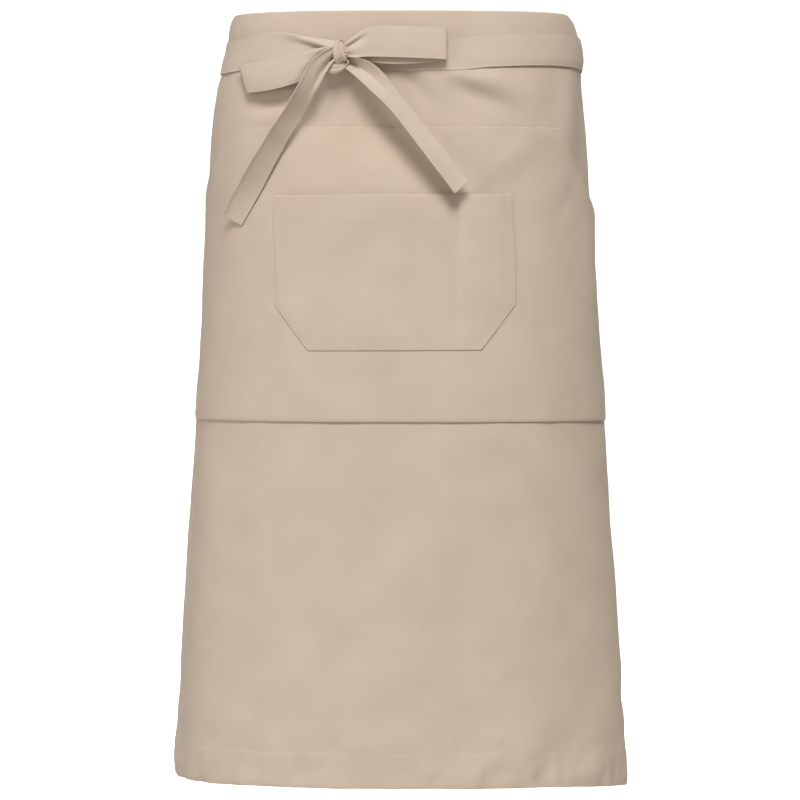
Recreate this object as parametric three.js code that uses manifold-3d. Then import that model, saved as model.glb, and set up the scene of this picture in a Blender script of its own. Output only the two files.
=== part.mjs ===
// A long waist apron as it is worn: a skirt cloth, a folded waistband, a wide pouch panel with slanted
// hand openings, a patch pocket, and two strings that go round the back and are tied in a bow in front.
// Millimetres, +Z up, -Y is the front, +X is the right of a view from the front. The origin is the centre
// of the waist, at the strings' mid height. Each piece is a wall of cloth with its own thickness.
import * as THREE from "three";
import { mergeVertices } from "three/addons/utils/BufferGeometryUtils.js";
import Module from "manifold-3d";

const wasm = await Module();
wasm.setup();

// Cloth and clearances
const CLOTH = 1.2;
const HEM_CLOTH = 1.9; // where the cloth is folded over itself
const STRING_CLOTH = 1.4; // a string is a folded and stitched tube of cloth, pressed flat
const GAP = 0.35; // between two pieces that touch
const LAID_GAP = 0.7; // between two cloths that lie on each other over a long way

// The skirt cloth as it is cut, and the form that it hangs round
const SKIRT_WIDTH = 720; // flat, from side hem to side hem
const SKIRT_DROP = 795; // from the band's top to the hem
const HEM_FOLD = 38;
const SIDE_FOLD = 12;
const TOP_RISE = 45; // from the strings' mid height to the band's top
const WAIST_WIDTH = 369;
const WAIST_DEPTH = 224;
const HEM_WIDTH = 478;
const HEM_FORWARD = 33; // how far the hem's front hangs ahead of the waist's
const SETBACK_LEFT = 55; // how far behind the waist's centre the hem is widest, on each side
const SETBACK_RIGHT = 5;
const SQUARENESS = 2.4; // of every cross-section: 2 is an ellipse, more is squarer
const HEM_DIP_LEFT = 4; // how far the hem's sides hang below its front
const HEM_DIP_RIGHT = 10;
const FOLD_DEPTH = 5; // of a full fold in the cloth

// Waistband
const BAND_HEIGHT = 50;

// Pouch panel
const POUCH_TOP_DROP = 120; // from the band's top
const POUCH_HEM_DROP = 421;
const POUCH_TOP_WIDTH = 340; // flat, between the hand openings
const OPENING_DROP = 148; // height of a slanted hand opening
const OPENING_BOW = 1.5; // 1 is a straight slant, more starts steeper
const POUCH_HEM_FOLD = 22;
const POUCH_STAND = 2.6; // how far its hem stands off the skirt

// Patch pocket
const POCKET_DROP = 189;
const POCKET_WIDTH = 248;
const POCKET_HEIGHT = 159;
const POCKET_SHIFT = -8; // of its centre line, along the cloth
const POCKET_HEM_FOLD = 28;
const CORNER_WIDTH = 35; // cut off each lower corner
const CORNER_HEIGHT = 46;
const DIVIDER_INSET = 57; // of the pen slot's stitch line, from the right side
const POCKET_GAPE = 1.8; // how far its mouth stands open

// Strings and bow
const STRING_WIDTH = 33;
const STRING_SEWN = 18; // length of a string's end that is sewn on the band
const KNOT_ACROSS = -59; // place of the knot along the cloth
const KNOT_RISE = 1;
const KNOT_WIDTH = 19;
const KNOT_HEIGHT = 23;
const KNOT_DEPTH = 20;
const LEFT_LOOP_LENGTH = 104;
const RIGHT_LOOP_LENGTH = 106;
const LOOP_FULLNESS = 11; // between the two plies of a loop
const LEFT_TAIL_LENGTH = 202;
const RIGHT_TAIL_LENGTH = 178;

// How the worn cloth widens: drop is a share of SKIRT_DROP, flare of the step from the waist's width to
// the hem's, forward of HEM_FORWARD and setback of SETBACK_LEFT and SETBACK_RIGHT.
const SHAPE = [
  { drop: 0, flare: -0.243, forward: -0.1, setback: 0 },
  { drop: 0.012, flare: -0.135, forward: -0.06, setback: 0 },
  { drop: 0.025, flare: -0.08, forward: -0.03, setback: 0 },
  { drop: 0.057, flare: 0, forward: 0, setback: 0 },
  { drop: 0.1, flare: 0.11, forward: 0.1, setback: 0.04 },
  { drop: 0.16, flare: 0.2, forward: 0.2, setback: 0.12 },
  { drop: 0.24, flare: 0.27, forward: 0.32, setback: 0.25 },
  { drop: 0.34, flare: 0.35, forward: 0.46, setback: 0.42 },
  { drop: 0.43, flare: 0.43, forward: 0.58, setback: 0.55 },
  { drop: 0.55, flare: 0.56, forward: 0.7, setback: 0.68 },
  { drop: 0.7, flare: 0.7, forward: 0.82, setback: 0.8 },
  { drop: 0.85, flare: 0.85, forward: 0.92, setback: 0.91 },
  { drop: 1, flare: 1, forward: 1, setback: 1 },
];

// Soft folds of the skirt: across is a share of half of SKIRT_WIDTH, drop and length are shares of
// SKIRT_DROP, width of half of SKIRT_WIDTH, height of FOLD_DEPTH (a dent is negative). Lean is the angle
// of the fold's ridge from upright, in degrees, positive with its top towards the right.
const FOLDS = [
  { across: -0.3, drop: 0.135, length: 0.05, width: 0.04, lean: -68, height: -0.5 },
  { across: 0.02, drop: 0.16, length: 0.07, width: 0.06, lean: -40, height: -0.9 },
  { across: 0.17, drop: 0.115, length: 0.06, width: 0.04, lean: -52, height: -0.5 },
  { across: 0.27, drop: 0.1, length: 0.06, width: 0.045, lean: -68, height: 0.5 },
  { across: 0.38, drop: 0.205, length: 0.07, width: 0.05, lean: 58, height: -0.45 },
  { across: 0.62, drop: 0.3, length: 0.11, width: 0.06, lean: 4, height: 0.9 },
  { across: -0.63, drop: 0.7, length: 0.32, width: 0.09, lean: 2, height: 0.9 },
  { across: 0.5, drop: 0.86, length: 0.28, width: 0.1, lean: -2, height: -0.7 },
  { across: 0.72, drop: 0.8, length: 0.3, width: 0.08, lean: -3, height: 0.9 },
  { across: -0.2, drop: 0.95, length: 0.2, width: 0.1, lean: 3, height: -0.5 },
];

// The strings' last stretch to the knot: before is how far ahead of the knot, as a share of STRING_WIDTH, as
// are rise, which is the middle's height above the waist's, and width, which narrows as the string gathers.
const LEFT_STRING_RUN = [
  { before: 0, rise: 0.06, width: 0.46 },
  { before: 1, rise: 0, width: 0.9 },
  { before: 2, rise: -0.02, width: 1 },
  { before: 3.3, rise: -0.02, width: 1 },
  { before: 4.5, rise: 0.09, width: 1 },
  { before: 6.5, rise: 0.16, width: 1 },
  { before: 9, rise: 0.07, width: 1 },
  { before: 11, rise: 0, width: 1 },
];
const RIGHT_STRING_RUN = [
  { before: 0, rise: 0.18, width: 0.42 },
  { before: 0.9, rise: 0.21, width: 0.62 },
  { before: 1.7, rise: 0.25, width: 0.86 },
  { before: 2.4, rise: 0.18, width: 1 },
  { before: 3.2, rise: 0.05, width: 1 },
  { before: 4.5, rise: -0.02, width: 1 },
  { before: 6, rise: 0, width: 1 },
];

// The loops' way out from the knot and back: out is a share of the loop's length, rise of STRING_WIDTH,
// clear of LOOP_FULLNESS (from the cloth beneath to the ply's near edge) and width of STRING_WIDTH. Lean
// is the angle of the string's width from upright, in degrees, positive towards the right.
const LEFT_LOOP = [
  { out: 0.03, rise: 0.02, clear: 0.95, width: 0.32, lean: -4 },
  { out: 0.2, rise: -0.16, clear: 1.1, width: 0.56, lean: -8 },
  { out: 0.42, rise: -0.46, clear: 1.25, width: 0.88, lean: -10 },
  { out: 0.7, rise: -0.67, clear: 1.15, width: 0.95, lean: -12 },
  { out: 0.96, rise: -0.77, clear: 0.95, width: 0.93, lean: -15 },
  { out: 1, rise: -0.8, clear: 0.6, width: 0.93, lean: -15 },
  { out: 0.96, rise: -0.78, clear: 0.28, width: 0.93, lean: -15 },
  { out: 0.7, rise: -0.65, clear: 0.14, width: 0.95, lean: -12 },
  { out: 0.42, rise: -0.44, clear: 0.22, width: 0.84, lean: -10 },
  { out: 0.2, rise: -0.16, clear: 0.5, width: 0.5, lean: -8 },
  { out: 0.03, rise: -0.02, clear: 0.72, width: 0.3, lean: -4 },
];
const RIGHT_LOOP = [
  { out: 0.03, rise: 0.06, clear: 0.95, width: 0.36, lean: 4 },
  { out: 0.14, rise: 0.17, clear: 1.2, width: 0.7, lean: 2 },
  { out: 0.26, rise: 0.31, clear: 1.45, width: 0.92, lean: 1 },
  { out: 0.45, rise: 0.33, clear: 1.45, width: 0.98, lean: 0 },
  { out: 0.75, rise: 0.3, clear: 1.35, width: 0.98, lean: 0 },
  { out: 0.965, rise: 0.27, clear: 1.2, width: 0.98, lean: 0 },
  { out: 1, rise: 0.26, clear: 0.9, width: 0.98, lean: 0 },
  { out: 0.96, rise: 0.24, clear: 0.64, width: 0.98, lean: 0 },
  { out: 0.75, rise: 0.15, clear: 0.56, width: 0.98, lean: 0 },
  { out: 0.45, rise: 0.12, clear: 0.56, width: 0.96, lean: 0 },
  { out: 0.26, rise: 0.14, clear: 0.64, width: 0.86, lean: 1 },
  { out: 0.03, rise: 0.1, clear: 0.76, width: 0.32, lean: 2 },
];

// The tails: along and down are shares of the tail's length, clear and width of STRING_WIDTH. Turn tilts
// the tail's width out of the cloth, in degrees, positive with its upper edge out. A tail is cupped along
// its length, which takes a part of its width.
const LEFT_TAIL = [
  { along: -0.02, down: 0, clear: 0.5, width: 0.34, lean: -40, turn: 8 },
  { along: -0.1, down: 0.071, clear: 0.46, width: 0.6, lean: -52, turn: 26 },
  { along: -0.182, down: 0.217, clear: 0.34, width: 0.76, lean: -52, turn: 44 },
  { along: -0.312, down: 0.412, clear: 0.1, width: 0.82, lean: -56, turn: 42 },
  { along: -0.445, down: 0.639, clear: 0.06, width: 0.84, lean: -60, turn: 26 },
  { along: -0.578, down: 0.85, clear: 0.06, width: 0.84, lean: -62, turn: 10 },
];
const RIGHT_TAIL = [
  { along: 0.03, down: 0.04, clear: 0.12, width: 0.46, lean: 54, turn: -4 },
  { along: 0.15, down: 0.125, clear: 0.07, width: 0.68, lean: 48, turn: -28 },
  { along: 0.285, down: 0.291, clear: 0.06, width: 0.76, lean: 49, turn: -44 },
  { along: 0.462, down: 0.538, clear: 0.06, width: 0.78, lean: 48, turn: -45 },
  { along: 0.677, down: 0.769, clear: 0.06, width: 0.8, lean: 50, turn: -40 },
];

// How finely the cloths are divided
const SKIRT_COLUMNS = 48;
const LONGEST_ROW = 70; // most height between two rows of a cloth
const SHORTEST_ROW = 0.5;
const POCKET_COLUMNS = 14;
const STRING_STEPS = 50;
const STRING_COLUMNS = 2;
const LOOP_STEPS = 22;
const TAIL_STEPS = 12;
const BOW_COLUMNS = 4;

const clothMaterial = (hex) =>
  new THREE.MeshStandardMaterial({ color: hex, roughness: 0.9, metalness: 0 });

const ramp = (low, high, value) => THREE.MathUtils.smoothstep(value, low, high);
const degrees = (angle) => THREE.MathUtils.degToRad(angle);

// A smooth curve through one column of a table, whose rows are placed by another of its columns.
function read(table, place, column, where) {
  const last = table.length - 1;
  const slope = (k) =>
    (table[k + 1][column] - table[k][column]) / (table[k + 1][place] - table[k][place]);
  const tangent = (k) => {
    if (k === 0) return slope(0);
    if (k === last) return slope(last - 1);
    const before = slope(k - 1);
    const after = slope(k);
    return before * after <= 0 ? 0 : (2 * before * after) / (before + after);
  };
  let k = 0;
  while (k < last - 1 && where > table[k + 1][place]) k++;
  const step = table[k + 1][place] - table[k][place];
  const t = (where - table[k][place]) / step;
  const start = table[k][column];
  const end = table[k + 1][column];
  const rise = end - start;
  const leave = tangent(k) * step;
  const arrive = tangent(k + 1) * step;
  return start + t * (leave + t * (3 * rise - 2 * leave - arrive + t * (leave + arrive - 2 * rise)));
}

// The worn cloth's cross-section at a drop below the band's top: a polyline from the front's centre round
// each side to the back's centre, with the length along it at each point.
const ARM_POINTS = 360;
const sections = new Map();
function section(drop) {
  const key = drop.toFixed(3);
  if (sections.has(key)) return sections.get(key);
  const share = drop / SKIRT_DROP;
  const half = (WAIST_WIDTH + (HEM_WIDTH - WAIST_WIDTH) * read(SHAPE, "drop", "flare", share)) / 2;
  const front = WAIST_DEPTH / 2 + HEM_FORWARD * read(SHAPE, "drop", "forward", share);
  const arms = [SETBACK_LEFT, SETBACK_RIGHT].map((setback, index) => {
    const side = index === 0 ? -1 : 1;
    const widest = setback * read(SHAPE, "drop", "setback", share);
    const points = [];
    let length = 0;
    for (let k = 0; k <= ARM_POINTS; k++) {
      const angle = (Math.PI * k) / ARM_POINTS;
      const ahead = Math.cos(angle);
      const x = side * half * Math.sin(angle) ** (2 / SQUARENESS);
      const y = widest - Math.sign(ahead) * (front + widest) * Math.abs(ahead) ** (2 / SQUARENESS);
      if (k > 0) length += Math.hypot(x - points[k - 1].x, y - points[k - 1].y);
      points.push({ x, y, length });
    }
    return points;
  });
  sections.set(key, arms);
  return arms;
}

const halfRound = (drop, side) => section(drop)[side < 0 ? 0 : 1][ARM_POINTS].length;

// Behind the skirt's edges, where only the strings go, lengths are those at the strings' mid height, and are
// shared out at other heights so that the two sides meet at the back's centre.
function reachAlong(across, drop) {
  const edge = SKIRT_WIDTH / 2;
  const reach = Math.abs(across);
  if (reach <= edge) return reach;
  const behind = halfRound(drop, across) - edge;
  return edge + ((reach - edge) * behind) / (halfRound(TOP_RISE, across) - edge);
}

// The point of the section at a length across from the front's centre.
function sectionPoint(across, drop) {
  const arm = section(drop)[across < 0 ? 0 : 1];
  const reach = reachAlong(across, drop);
  let low = 0;
  let high = ARM_POINTS;
  while (high - low > 1) {
    const middle = (low + high) >> 1;
    if (arm[middle].length <= reach) low = middle;
    else high = middle;
  }
  const share = (reach - arm[low].length) / (arm[high].length - arm[low].length);
  const x = arm[low].x + (arm[high].x - arm[low].x) * share;
  const y = arm[low].y + (arm[high].y - arm[low].y) * share;
  return { x, y };
}

// Height of the skirt's folds at a point of the cloth, outwards.
function foldHeight(across, drop) {
  const half = SKIRT_WIDTH / 2;
  return FOLDS.reduce((sum, fold) => {
    const x = across - fold.across * half;
    const up = fold.drop * SKIRT_DROP - drop;
    const lean = degrees(fold.lean);
    const along = (up * Math.cos(lean) + x * Math.sin(lean)) / (fold.length * SKIRT_DROP);
    const off = (x * Math.cos(lean) - up * Math.sin(lean)) / (fold.width * half);
    return sum + fold.height * FOLD_DEPTH * Math.exp(-along * along - off * off);
  }, 0);
}

const TURN_STEP = 3; // length over which the way out of the cloth is measured
function outward(across, drop) {
  const before = sectionPoint(across - TURN_STEP, drop);
  const after = sectionPoint(across + TURN_STEP, drop);
  return new THREE.Vector3(after.y - before.y, before.x - after.x, 0).normalize();
}

// A place on the worn cloth: across along the cloth from the front's centre, height above the strings, and
// stand outwards from the skirt cloth's middle surface.
function onCloth(across, height, stand) {
  const drop = Math.max(TOP_RISE - height, 0);
  const { x, y } = sectionPoint(across, drop);
  const out = outward(across, drop);
  return new THREE.Vector3(x, y, height).addScaledVector(out, stand + foldHeight(across, drop));
}

function hemDip(across, drop) {
  const reach = Math.abs(across) / (SKIRT_WIDTH / 2);
  const dip = across < 0 ? HEM_DIP_LEFT : HEM_DIP_RIGHT;
  return dip * ramp(0.35, 1, reach) * ramp(0.3, 1, drop / SKIRT_DROP);
}

// A closed wall about a grid of middle points, rows of equal length, seen with rows going down and columns
// going right. The thickness is a number, or a function of the row and the column.
function wall(rows, thickness) {
  const down = rows.length;
  const across = rows[0].length;
  const thick = typeof thickness === "number" ? () => thickness : thickness;
  const positions = [];
  const clamp = (value, count) => Math.min(Math.max(value, 0), count - 1);
  const pick = (i, j) => rows[clamp(i, down)][clamp(j, across)];
  for (const side of [1, -1]) {
    for (let i = 0; i < down; i++) {
      for (let j = 0; j < across; j++) {
        const right = pick(i, j + 1).clone().sub(pick(i, j - 1));
        const below = pick(i + 1, j).clone().sub(pick(i - 1, j));
        const out = below.cross(right).normalize();
        const point = rows[i][j].clone().addScaledVector(out, (side * thick(i, j)) / 2);
        positions.push(point.x, point.y, point.z);
      }
    }
  }
  const front = (i, j) => i * across + j;
  const back = (i, j) => down * across + i * across + j;
  const index = [];
  const face = (a, b, c, d) => index.push(a, b, c, a, c, d);
  for (let i = 0; i + 1 < down; i++) {
    for (let j = 0; j + 1 < across; j++) {
      face(front(i, j), front(i + 1, j), front(i + 1, j + 1), front(i, j + 1));
      face(back(i, j), back(i, j + 1), back(i + 1, j + 1), back(i + 1, j));
    }
  }
  for (let j = 0; j + 1 < across; j++) {
    face(front(0, j), front(0, j + 1), back(0, j + 1), back(0, j));
    face(front(down - 1, j + 1), front(down - 1, j), back(down - 1, j), back(down - 1, j + 1));
  }
  for (let i = 0; i + 1 < down; i++) {
    face(front(i + 1, 0), front(i, 0), back(i, 0), back(i + 1, 0));
    face(front(i, across - 1), front(i + 1, across - 1), back(i + 1, across - 1), back(i, across - 1));
  }
  const geometry = new THREE.BufferGeometry();
  geometry.setAttribute("position", new THREE.Float32BufferAttribute(positions, 3));
  geometry.setIndex(index);
  geometry.computeVertexNormals();
  return geometry;
}

const solidOf = (geometry) => {
  const plain = geometry.clone();
  plain.deleteAttribute("normal");
  plain.deleteAttribute("uv");
  const merged = mergeVertices(plain, 1e-4);
  return new wasm.Manifold(
    new wasm.Mesh({
      numProp: 3,
      vertProperties: new Float32Array(merged.attributes.position.array),
      triVerts: new Uint32Array(merged.index.array),
    }),
  );
};

const geometryOf = (solid) => {
  const mesh = solid.getMesh();
  const geometry = new THREE.BufferGeometry();
  geometry.setAttribute("position", new THREE.Float32BufferAttribute(mesh.vertProperties, 3));
  geometry.setIndex(new THREE.BufferAttribute(mesh.triVerts, 1));
  geometry.computeVertexNormals();
  return geometry;
};

// Evenly spread values from 0 to 1, with places that must be met, such as a stitch line.
function spread(count, places = []) {
  const values = Array.from({ length: count + 1 }, (_, k) => k / count);
  for (const place of places) {
    const nearest = values.reduce((best, v, k) => {
      const inner = k > 0 && k < count;
      return inner && Math.abs(v - place) < Math.abs(values[best] - place) ? k : best;
    }, 1);
    values[nearest] = place;
  }
  return values;
}

// The cloths share their rows, so that they lie evenly on each other: these are the drops at which one of
// them starts, ends, is stitched or turns a corner.
const BAND_STAND = CLOTH + LAID_GAP;
const BAND_TURN = CLOTH / 2 + BAND_STAND; // drop at which the band's fold begins
const SKIRT_TOP = BAND_TURN + CLOTH; // its edge ends a little short of the fold
const BAND_LEG = [0, 0.18, 0.5, 1]; // rows of its legs, as shares of their height
const bandLegDrop = (share) => BAND_TURN + (BAND_HEIGHT - BAND_TURN) * share;
const SHARED_DROPS = [
  ...BAND_LEG.map(bandLegDrop),
  POUCH_TOP_DROP,
  POUCH_TOP_DROP + OPENING_DROP / 4,
  POUCH_TOP_DROP + OPENING_DROP,
  POCKET_DROP,
  POCKET_DROP + POCKET_HEM_FOLD,
  POCKET_DROP + POCKET_HEIGHT - CORNER_HEIGHT,
  POCKET_DROP + POCKET_HEIGHT,
  POUCH_HEM_DROP - POUCH_HEM_FOLD,
  POUCH_HEM_DROP,
  SKIRT_DROP - HEM_FOLD,
  SKIRT_DROP,
].sort((a, b) => a - b);

const filledDrops = SHARED_DROPS.flatMap((drop, k) => {
  const next = SHARED_DROPS[k + 1] ?? drop;
  const count = Math.max(Math.ceil((next - drop) / LONGEST_ROW), 1);
  return Array.from({ length: count }, (_, step) => drop + ((next - drop) * step) / count);
});

// The shared rows of a cloth that runs from one drop to another.
function rowsBetween(start, end) {
  const inner = filledDrops.filter(
    (drop, k) =>
      drop > start + SHORTEST_ROW &&
      drop < end - SHORTEST_ROW &&
      drop - (filledDrops[k - 1] ?? -SHORTEST_ROW) >= SHORTEST_ROW,
  );
  return [start, ...inner, end];
}

// Their columns are shared too.
const SIDE_SHARE = SIDE_FOLD / SKIRT_WIDTH;
const SHARED_COLUMNS = spread(SKIRT_COLUMNS, [SIDE_SHARE, 1 - SIDE_SHARE]);

// Skirt: the main cloth, folded over at its sides and, deeper, at its hem
function skirtPanel() {
  const columns = SHARED_COLUMNS;
  const downs = rowsBetween(SKIRT_TOP, SKIRT_DROP);
  const rows = downs.map((drop) =>
    columns.map((share) => {
      const across = (share - 0.5) * SKIRT_WIDTH;
      return onCloth(across, TOP_RISE - drop, 0).setZ(TOP_RISE - drop - hemDip(across, drop));
    }),
  );
  return wall(rows, (i, j) => {
    const inHem = downs[i] > SKIRT_DROP - HEM_FOLD;
    const inSide = Math.min(columns[j], 1 - columns[j]) < SIDE_SHARE;
    const folded = (inHem || inSide) && downs[i] > BAND_HEIGHT;
    return folded ? HEM_CLOTH : CLOTH;
  });
}

// Waistband: folded over the skirt's top edge, with a leg down each face of it
const TOP_TURN_STEPS = 4;
function waistband() {
  const turnHeight = TOP_RISE - BAND_TURN;
  const leg = (stand) => (share) => ({ stand, height: TOP_RISE - bandLegDrop(share) });
  const profile = [
    ...BAND_LEG.map(leg(BAND_STAND)).reverse(),
    ...Array.from({ length: TOP_TURN_STEPS - 1 }, (_, k) => {
      const angle = (Math.PI * (k + 1)) / TOP_TURN_STEPS;
      return {
        stand: BAND_STAND * Math.cos(angle),
        height: turnHeight + BAND_STAND * Math.sin(angle),
      };
    }),
    ...BAND_LEG.map(leg(-BAND_STAND)),
  ];
  const columns = SHARED_COLUMNS;
  // Its rows go from the outer leg's foot up and over, so they are listed from the last to the first.
  const rows = profile.reverse().map(({ stand, height }) =>
    columns.map((share) => onCloth((share - 0.5) * SKIRT_WIDTH, height, stand)),
  );
  return wall(rows, CLOTH);
}

// What a cloth loses at a corner: from a cut edge sideways over a reach. The edge gives its place along
// the cloth and its drop at a share of the cut's length, and goes a little past the cut's two ends.
const CUT_STEPS = 8;
const CUT_COLUMNS = 10;
const CUT_PAST = 0.05;
const CUT_THICKNESS = 24;
function cornerCutter(edge, reach) {
  const rows = [-CUT_PAST, ...spread(CUT_STEPS), 1 + CUT_PAST].map(edge).map(({ across, drop }) => {
    const span = spread(CUT_COLUMNS).map((share) => onCloth(across + share * reach, TOP_RISE - drop, 0));
    return reach < 0 ? span.reverse() : span;
  });
  return solidOf(wall(rows, CUT_THICKNESS));
}

// Pouch panel: how far its middle surface stands outwards at a point of the cloth
const LAID_ON_SKIRT = HEM_CLOTH / 2 + LAID_GAP + CLOTH / 2;
function pouchStand(across, drop) {
  const inward = 1 - ramp(0.45, 0.9, Math.abs(across) / (SKIRT_WIDTH / 2));
  const lower = ramp(POUCH_TOP_DROP + OPENING_DROP, POUCH_HEM_DROP, drop);
  return LAID_ON_SKIRT + POUCH_STAND * inward * lower;
}

const OPENING_REACH = (SKIRT_WIDTH - POUCH_TOP_WIDTH) / 2;
const openingAcross = (share) =>
  POUCH_TOP_WIDTH / 2 + OPENING_REACH * Math.max(share, 0) ** OPENING_BOW;

function pouchPanel() {
  const downs = rowsBetween(POUCH_TOP_DROP, POUCH_HEM_DROP);
  const columns = SHARED_COLUMNS;
  const rows = downs.map((drop) =>
    columns.map((share) => {
      const across = (share - 0.5) * SKIRT_WIDTH;
      const stand = pouchStand(across, drop);
      return onCloth(across, TOP_RISE - drop, stand).setZ(TOP_RISE - drop - hemDip(across, drop));
    }),
  );
  const edge = (side) => (share) => ({
    across: side * openingAcross(share),
    drop: POUCH_TOP_DROP + share * OPENING_DROP,
  });
  const panel = solidOf(wall(rows, CLOTH));
  const cut = [-1, 1].reduce(
    (left, side) => left.subtract(cornerCutter(edge(side), side * 1.1 * OPENING_REACH)),
    panel,
  );
  return geometryOf(cut);
}

// Patch pocket: on the pouch panel, with its lower corners cut off and its mouth a little open
function pocketStand(across, drop) {
  const on = pouchStand(across, drop) + CLOTH + LAID_GAP;
  const side = Math.abs(across - POCKET_SHIFT) / (POCKET_WIDTH / 2);
  const divider = Math.abs(across - POCKET_SHIFT - POCKET_WIDTH / 2 + DIVIDER_INSET);
  const free = (1 - ramp(0.8, 1, side)) * ramp(0, DIVIDER_INSET / 2, divider);
  const mouth = 1 - ramp(POCKET_DROP, POCKET_DROP + POCKET_HEIGHT / 2, drop);
  return on + POCKET_GAPE * free * mouth;
}

function patchPocket() {
  const bottom = POCKET_DROP + POCKET_HEIGHT;
  const columns = spread(POCKET_COLUMNS, [1 - DIVIDER_INSET / POCKET_WIDTH]);
  const rows = rowsBetween(POCKET_DROP, bottom).map((drop) =>
    columns.map((share) => {
      const across = POCKET_SHIFT + (share - 0.5) * POCKET_WIDTH;
      return onCloth(across, TOP_RISE - drop, pocketStand(across, drop));
    }),
  );
  const edge = (side) => (share) => ({
    across: POCKET_SHIFT + side * (POCKET_WIDTH / 2 - share * CORNER_WIDTH),
    drop: bottom - (1 - share) * CORNER_HEIGHT,
  });
  const pocket = solidOf(wall(rows, CLOTH));
  const cut = [-1, 1].reduce(
    (left, side) => left.subtract(cornerCutter(edge(side), side * 1.5 * CORNER_WIDTH)),
    pocket,
  );
  return geometryOf(cut);
}

// A ribbon of cloth along steps, each with its place on the worn cloth, its width, the lean of its width
// from upright and the turn of its width out of the cloth. The place is the middle of the width, and the
// ribbon bends with the cloth beneath it.
function ribbon(steps, columns) {
  const shares = Array.from({ length: columns + 1 }, (_, k) => 0.5 - k / columns);
  const rows = shares.map((share) =>
    steps.map(({ across, height, stand, width, lean, turn }) => {
      const flat = share * width * Math.cos(degrees(turn));
      return onCloth(
        across + flat * Math.sin(degrees(lean)),
        height + flat * Math.cos(degrees(lean)),
        stand + share * width * Math.sin(degrees(turn)),
      );
    }),
  );
  return wall(rows, STRING_CLOTH);
}

// Strings: each is sewn over an end of the band, goes round the back and comes to the knot in front. At the
// back's centre one passes above the other, and they change places, the inner one going outside.
const ON_BAND = BAND_STAND + CLOTH / 2 + LAID_GAP + STRING_CLOTH / 2;
const OVER_STRING = ON_BAND + STRING_CLOTH + LAID_GAP;
const INTO_KNOT = 4.5; // how far a string rises off the band where it enters the knot
const knotStand = ON_BAND + STRING_CLOTH / 2 + GAP + KNOT_DEPTH / 2;
function waistString(side, run) {
  const round = halfRound(TOP_RISE, -1) + halfRound(TOP_RISE, 1);
  const bandEnd = SKIRT_WIDTH / 2;
  const backGap = round - SKIRT_WIDTH;
  const start = bandEnd - STRING_SEWN;
  const knot = side < 0 ? round - KNOT_ACROSS : round + KNOT_ACROSS;
  const toKnot = KNOT_WIDTH / 4;
  const length = knot - toKnot - start;
  const steps = Array.from({ length: STRING_STEPS + 1 }, (_, k) => {
    const gone = start + (length * k) / STRING_STEPS;
    const fromBack = gone - round / 2;
    const apart = 1 - ramp(0.12 * backGap, 0.46 * backGap, Math.abs(fromBack));
    const swapped = ramp(-0.1 * backGap, 0.1 * backGap, fromBack);
    const past = ramp(0, STRING_SEWN, gone - (round / 2 + backGap / 2 + 2 * STRING_SEWN));
    const ahead = Math.min((knot - toKnot - gone) / STRING_WIDTH, run[run.length - 1].before);
    const rise = STRING_WIDTH * read(run, "before", "rise", ahead);
    const over = swapped * (1 - past);
    const away = side * gone;
    const across = gone > round / 2 ? away - side * round : away;
    return {
      across,
      height: side * -1 * apart * (STRING_WIDTH / 2 + 2 * GAP) + rise,
      stand: ON_BAND + (OVER_STRING - ON_BAND) * over + INTO_KNOT * (1 - ramp(0, 1, ahead)),
      width: STRING_WIDTH * read(run, "before", "width", ahead),
      lean: 0,
      turn: 0,
    };
  });
  if (side > 0) steps.reverse();
  return ribbon(steps, STRING_COLUMNS);
}

// Steps along a table's rows, evenly spread between them and smooth through them.
function stepsAlong(table, count) {
  const keys = Object.keys(table[0]);
  const curves = Object.fromEntries(
    keys.map((key) => {
      const points = table.map((row, k) => new THREE.Vector2(k, row[key]));
      return [key, new THREE.SplineCurve(points)];
    }),
  );
  return Array.from({ length: count + 1 }, (_, k) =>
    Object.fromEntries(keys.map((key) => [key, curves[key].getPoint(k / count).y])),
  );
}

// What lies under the bow, outwards from the skirt's middle surface
const UNDER_BOW = ON_BAND + STRING_CLOTH / 2 + 2 * GAP;

function bowLoop(table, side, length) {
  const steps = stepsAlong(table, LOOP_STEPS).map((step) => ({
    across: KNOT_ACROSS + side * step.out * length,
    height: KNOT_RISE + step.rise * STRING_WIDTH,
    stand: UNDER_BOW + STRING_CLOTH / 2 + step.clear * LOOP_FULLNESS,
    width: step.width * STRING_WIDTH,
    lean: step.lean,
    turn: 0,
  }));
  if (side < 0) steps.reverse();
  return ribbon(steps, BOW_COLUMNS);
}

function bowTail(table, side, length) {
  const steps = stepsAlong(table, TAIL_STEPS).map((step) => {
    const width = step.width * STRING_WIDTH;
    const rise = (width / 2) * Math.abs(Math.sin(degrees(step.turn)));
    return {
      across: KNOT_ACROSS + step.along * length,
      height: KNOT_RISE - step.down * length,
      stand: UNDER_BOW + STRING_CLOTH / 2 + step.clear * STRING_WIDTH + rise,
      width,
      lean: step.lean,
      turn: step.turn,
    };
  });
  if (side < 0) steps.reverse();
  return ribbon(steps, BOW_COLUMNS);
}

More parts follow.
